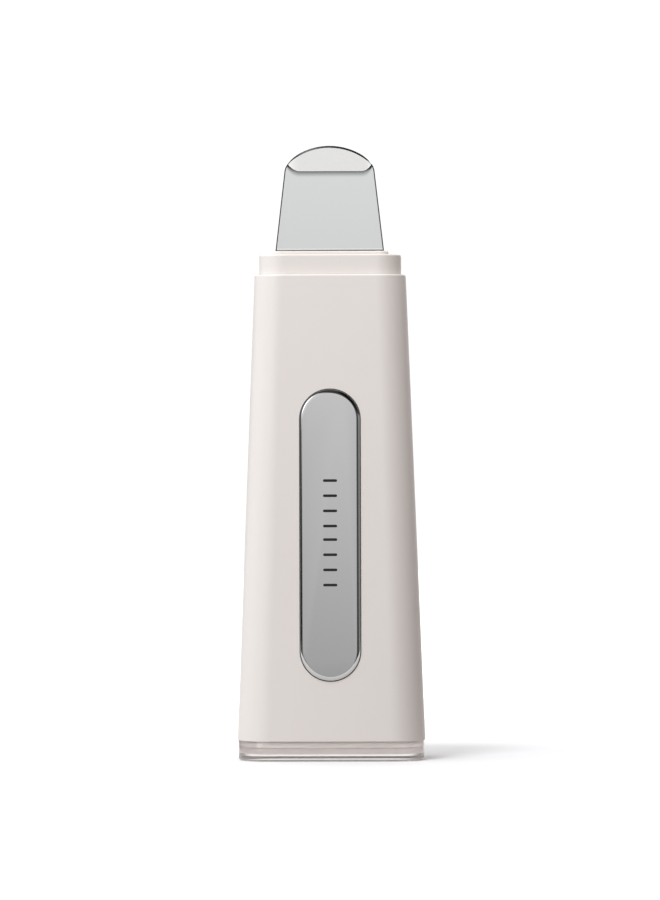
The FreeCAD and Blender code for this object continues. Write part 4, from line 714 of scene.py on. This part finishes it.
def clear_sees(w, x, y, z):
    """Bright above in front, for the cover inside the clear foot; plain behind; dimmer far to the sides."""
    side = w.smooth(w.math("ABSOLUTE", x), 0.25, 0.6, 1.0, 0.25)
    front = w.product(w.smooth(z, 0.02, 0.35, 0.70, 2.6), w.math("MAXIMUM", side, w.smooth(z, 0.05, 0.2)))
    behind = w.product(side, 0.98)
    rear = w.smooth(y, -0.1, 0.4)
    return w.math("ADD", w.product(behind, rear), w.product(front, w.inverse(rear)))


def make_world():
    """A plain white studio, which gloss, matt surfaces and clear pieces each see in their own way."""
    world = bpy.data.worlds.new("studio")
    scene.world = world
    world.use_nodes = True
    world.node_tree.nodes.clear()
    w = Nodes(world.node_tree)
    direction = w.add("ShaderNodeTexCoord").outputs["Generated"]
    split = w.add("ShaderNodeSeparateXYZ")
    w.feed(split.inputs[0], direction)
    x, y, z = split.outputs
    right = w.dot(direction, TO_THE_RIGHT)
    path = w.add("ShaderNodeLightPath").outputs
    level = w.pick(path["Is Glossy Ray"], matt_sees(w, y, z, right), gloss_sees(w, direction, x, y, z, right))
    level = w.pick(path["Is Transmission Ray"], level, clear_sees(w, x, y, z))
    level = w.pick(path["Is Camera Ray"], level, BACKDROP)
    warm = w.product(path["Is Diffuse Ray"], w.smooth(right, 0.0, 0.9))
    background = w.add("ShaderNodeBackground")
    w.feed(background.inputs["Color"], w.mix(warm, WHITE, WARM))
    w.feed(background.inputs["Strength"], level)
    w.tree.links.new(background.outputs[0], w.add("ShaderNodeOutputWorld").inputs["Surface"])


def softbox(name, place, aim, size, power):
    """A square area light that only lights: neither the camera nor gloss sees it."""
    data = bpy.data.lights.new(name, "AREA")
    data.shape = "RECTANGLE"
    data.size = data.size_y = size
    data.energy = power
    light = bpy.data.objects.new(name, data)
    scene.collection.objects.link(light)
    light.location = place
    light.rotation_euler = (Vector(aim) - Vector(place)).to_track_quat("-Z", "Y").to_euler()
    light.visible_camera = False
    light.visible_glossy = False


make_world()
softbox("key", place=(-0.70, -0.40, 0.60), aim=(0.0, 0.0, 0.10), size=0.5, power=1.1)
softbox("top", place=(-0.17, -0.34, 1.00), aim=(0.0, 0.0, 0.0), size=0.16, power=4.0)

# ------------------------------------------------------------------ camera

IMAGE_HEIGHT = 900
SENSOR = 36.0
DISTANCE = 1.4
SCALE = 0.2702 * MM
VIEW_HEIGHT = 83.24 * MM
SIDE_STEP = -0.3 * MM
ROLL = math.radians(0.18)
TURN = math.radians(1.25)


def make_camera():
    """A long, level view of the front from a little to the right. SCALE is one pixel's size at the object."""
    data = bpy.data.cameras.new("camera")
    data.sensor_width = SENSOR
    data.lens = DISTANCE / SCALE * SENSOR / IMAGE_HEIGHT
    data.clip_start = 0.1
    data.clip_end = 20.0
    camera = bpy.data.objects.new("camera", data)
    scene.collection.objects.link(camera)
    camera.location = (SIDE_STEP + DISTANCE * math.sin(TURN), -DISTANCE * math.cos(TURN), VIEW_HEIGHT)
    camera.rotation_euler = (math.radians(90.0), ROLL, TURN)
    scene.camera = camera


make_camera()
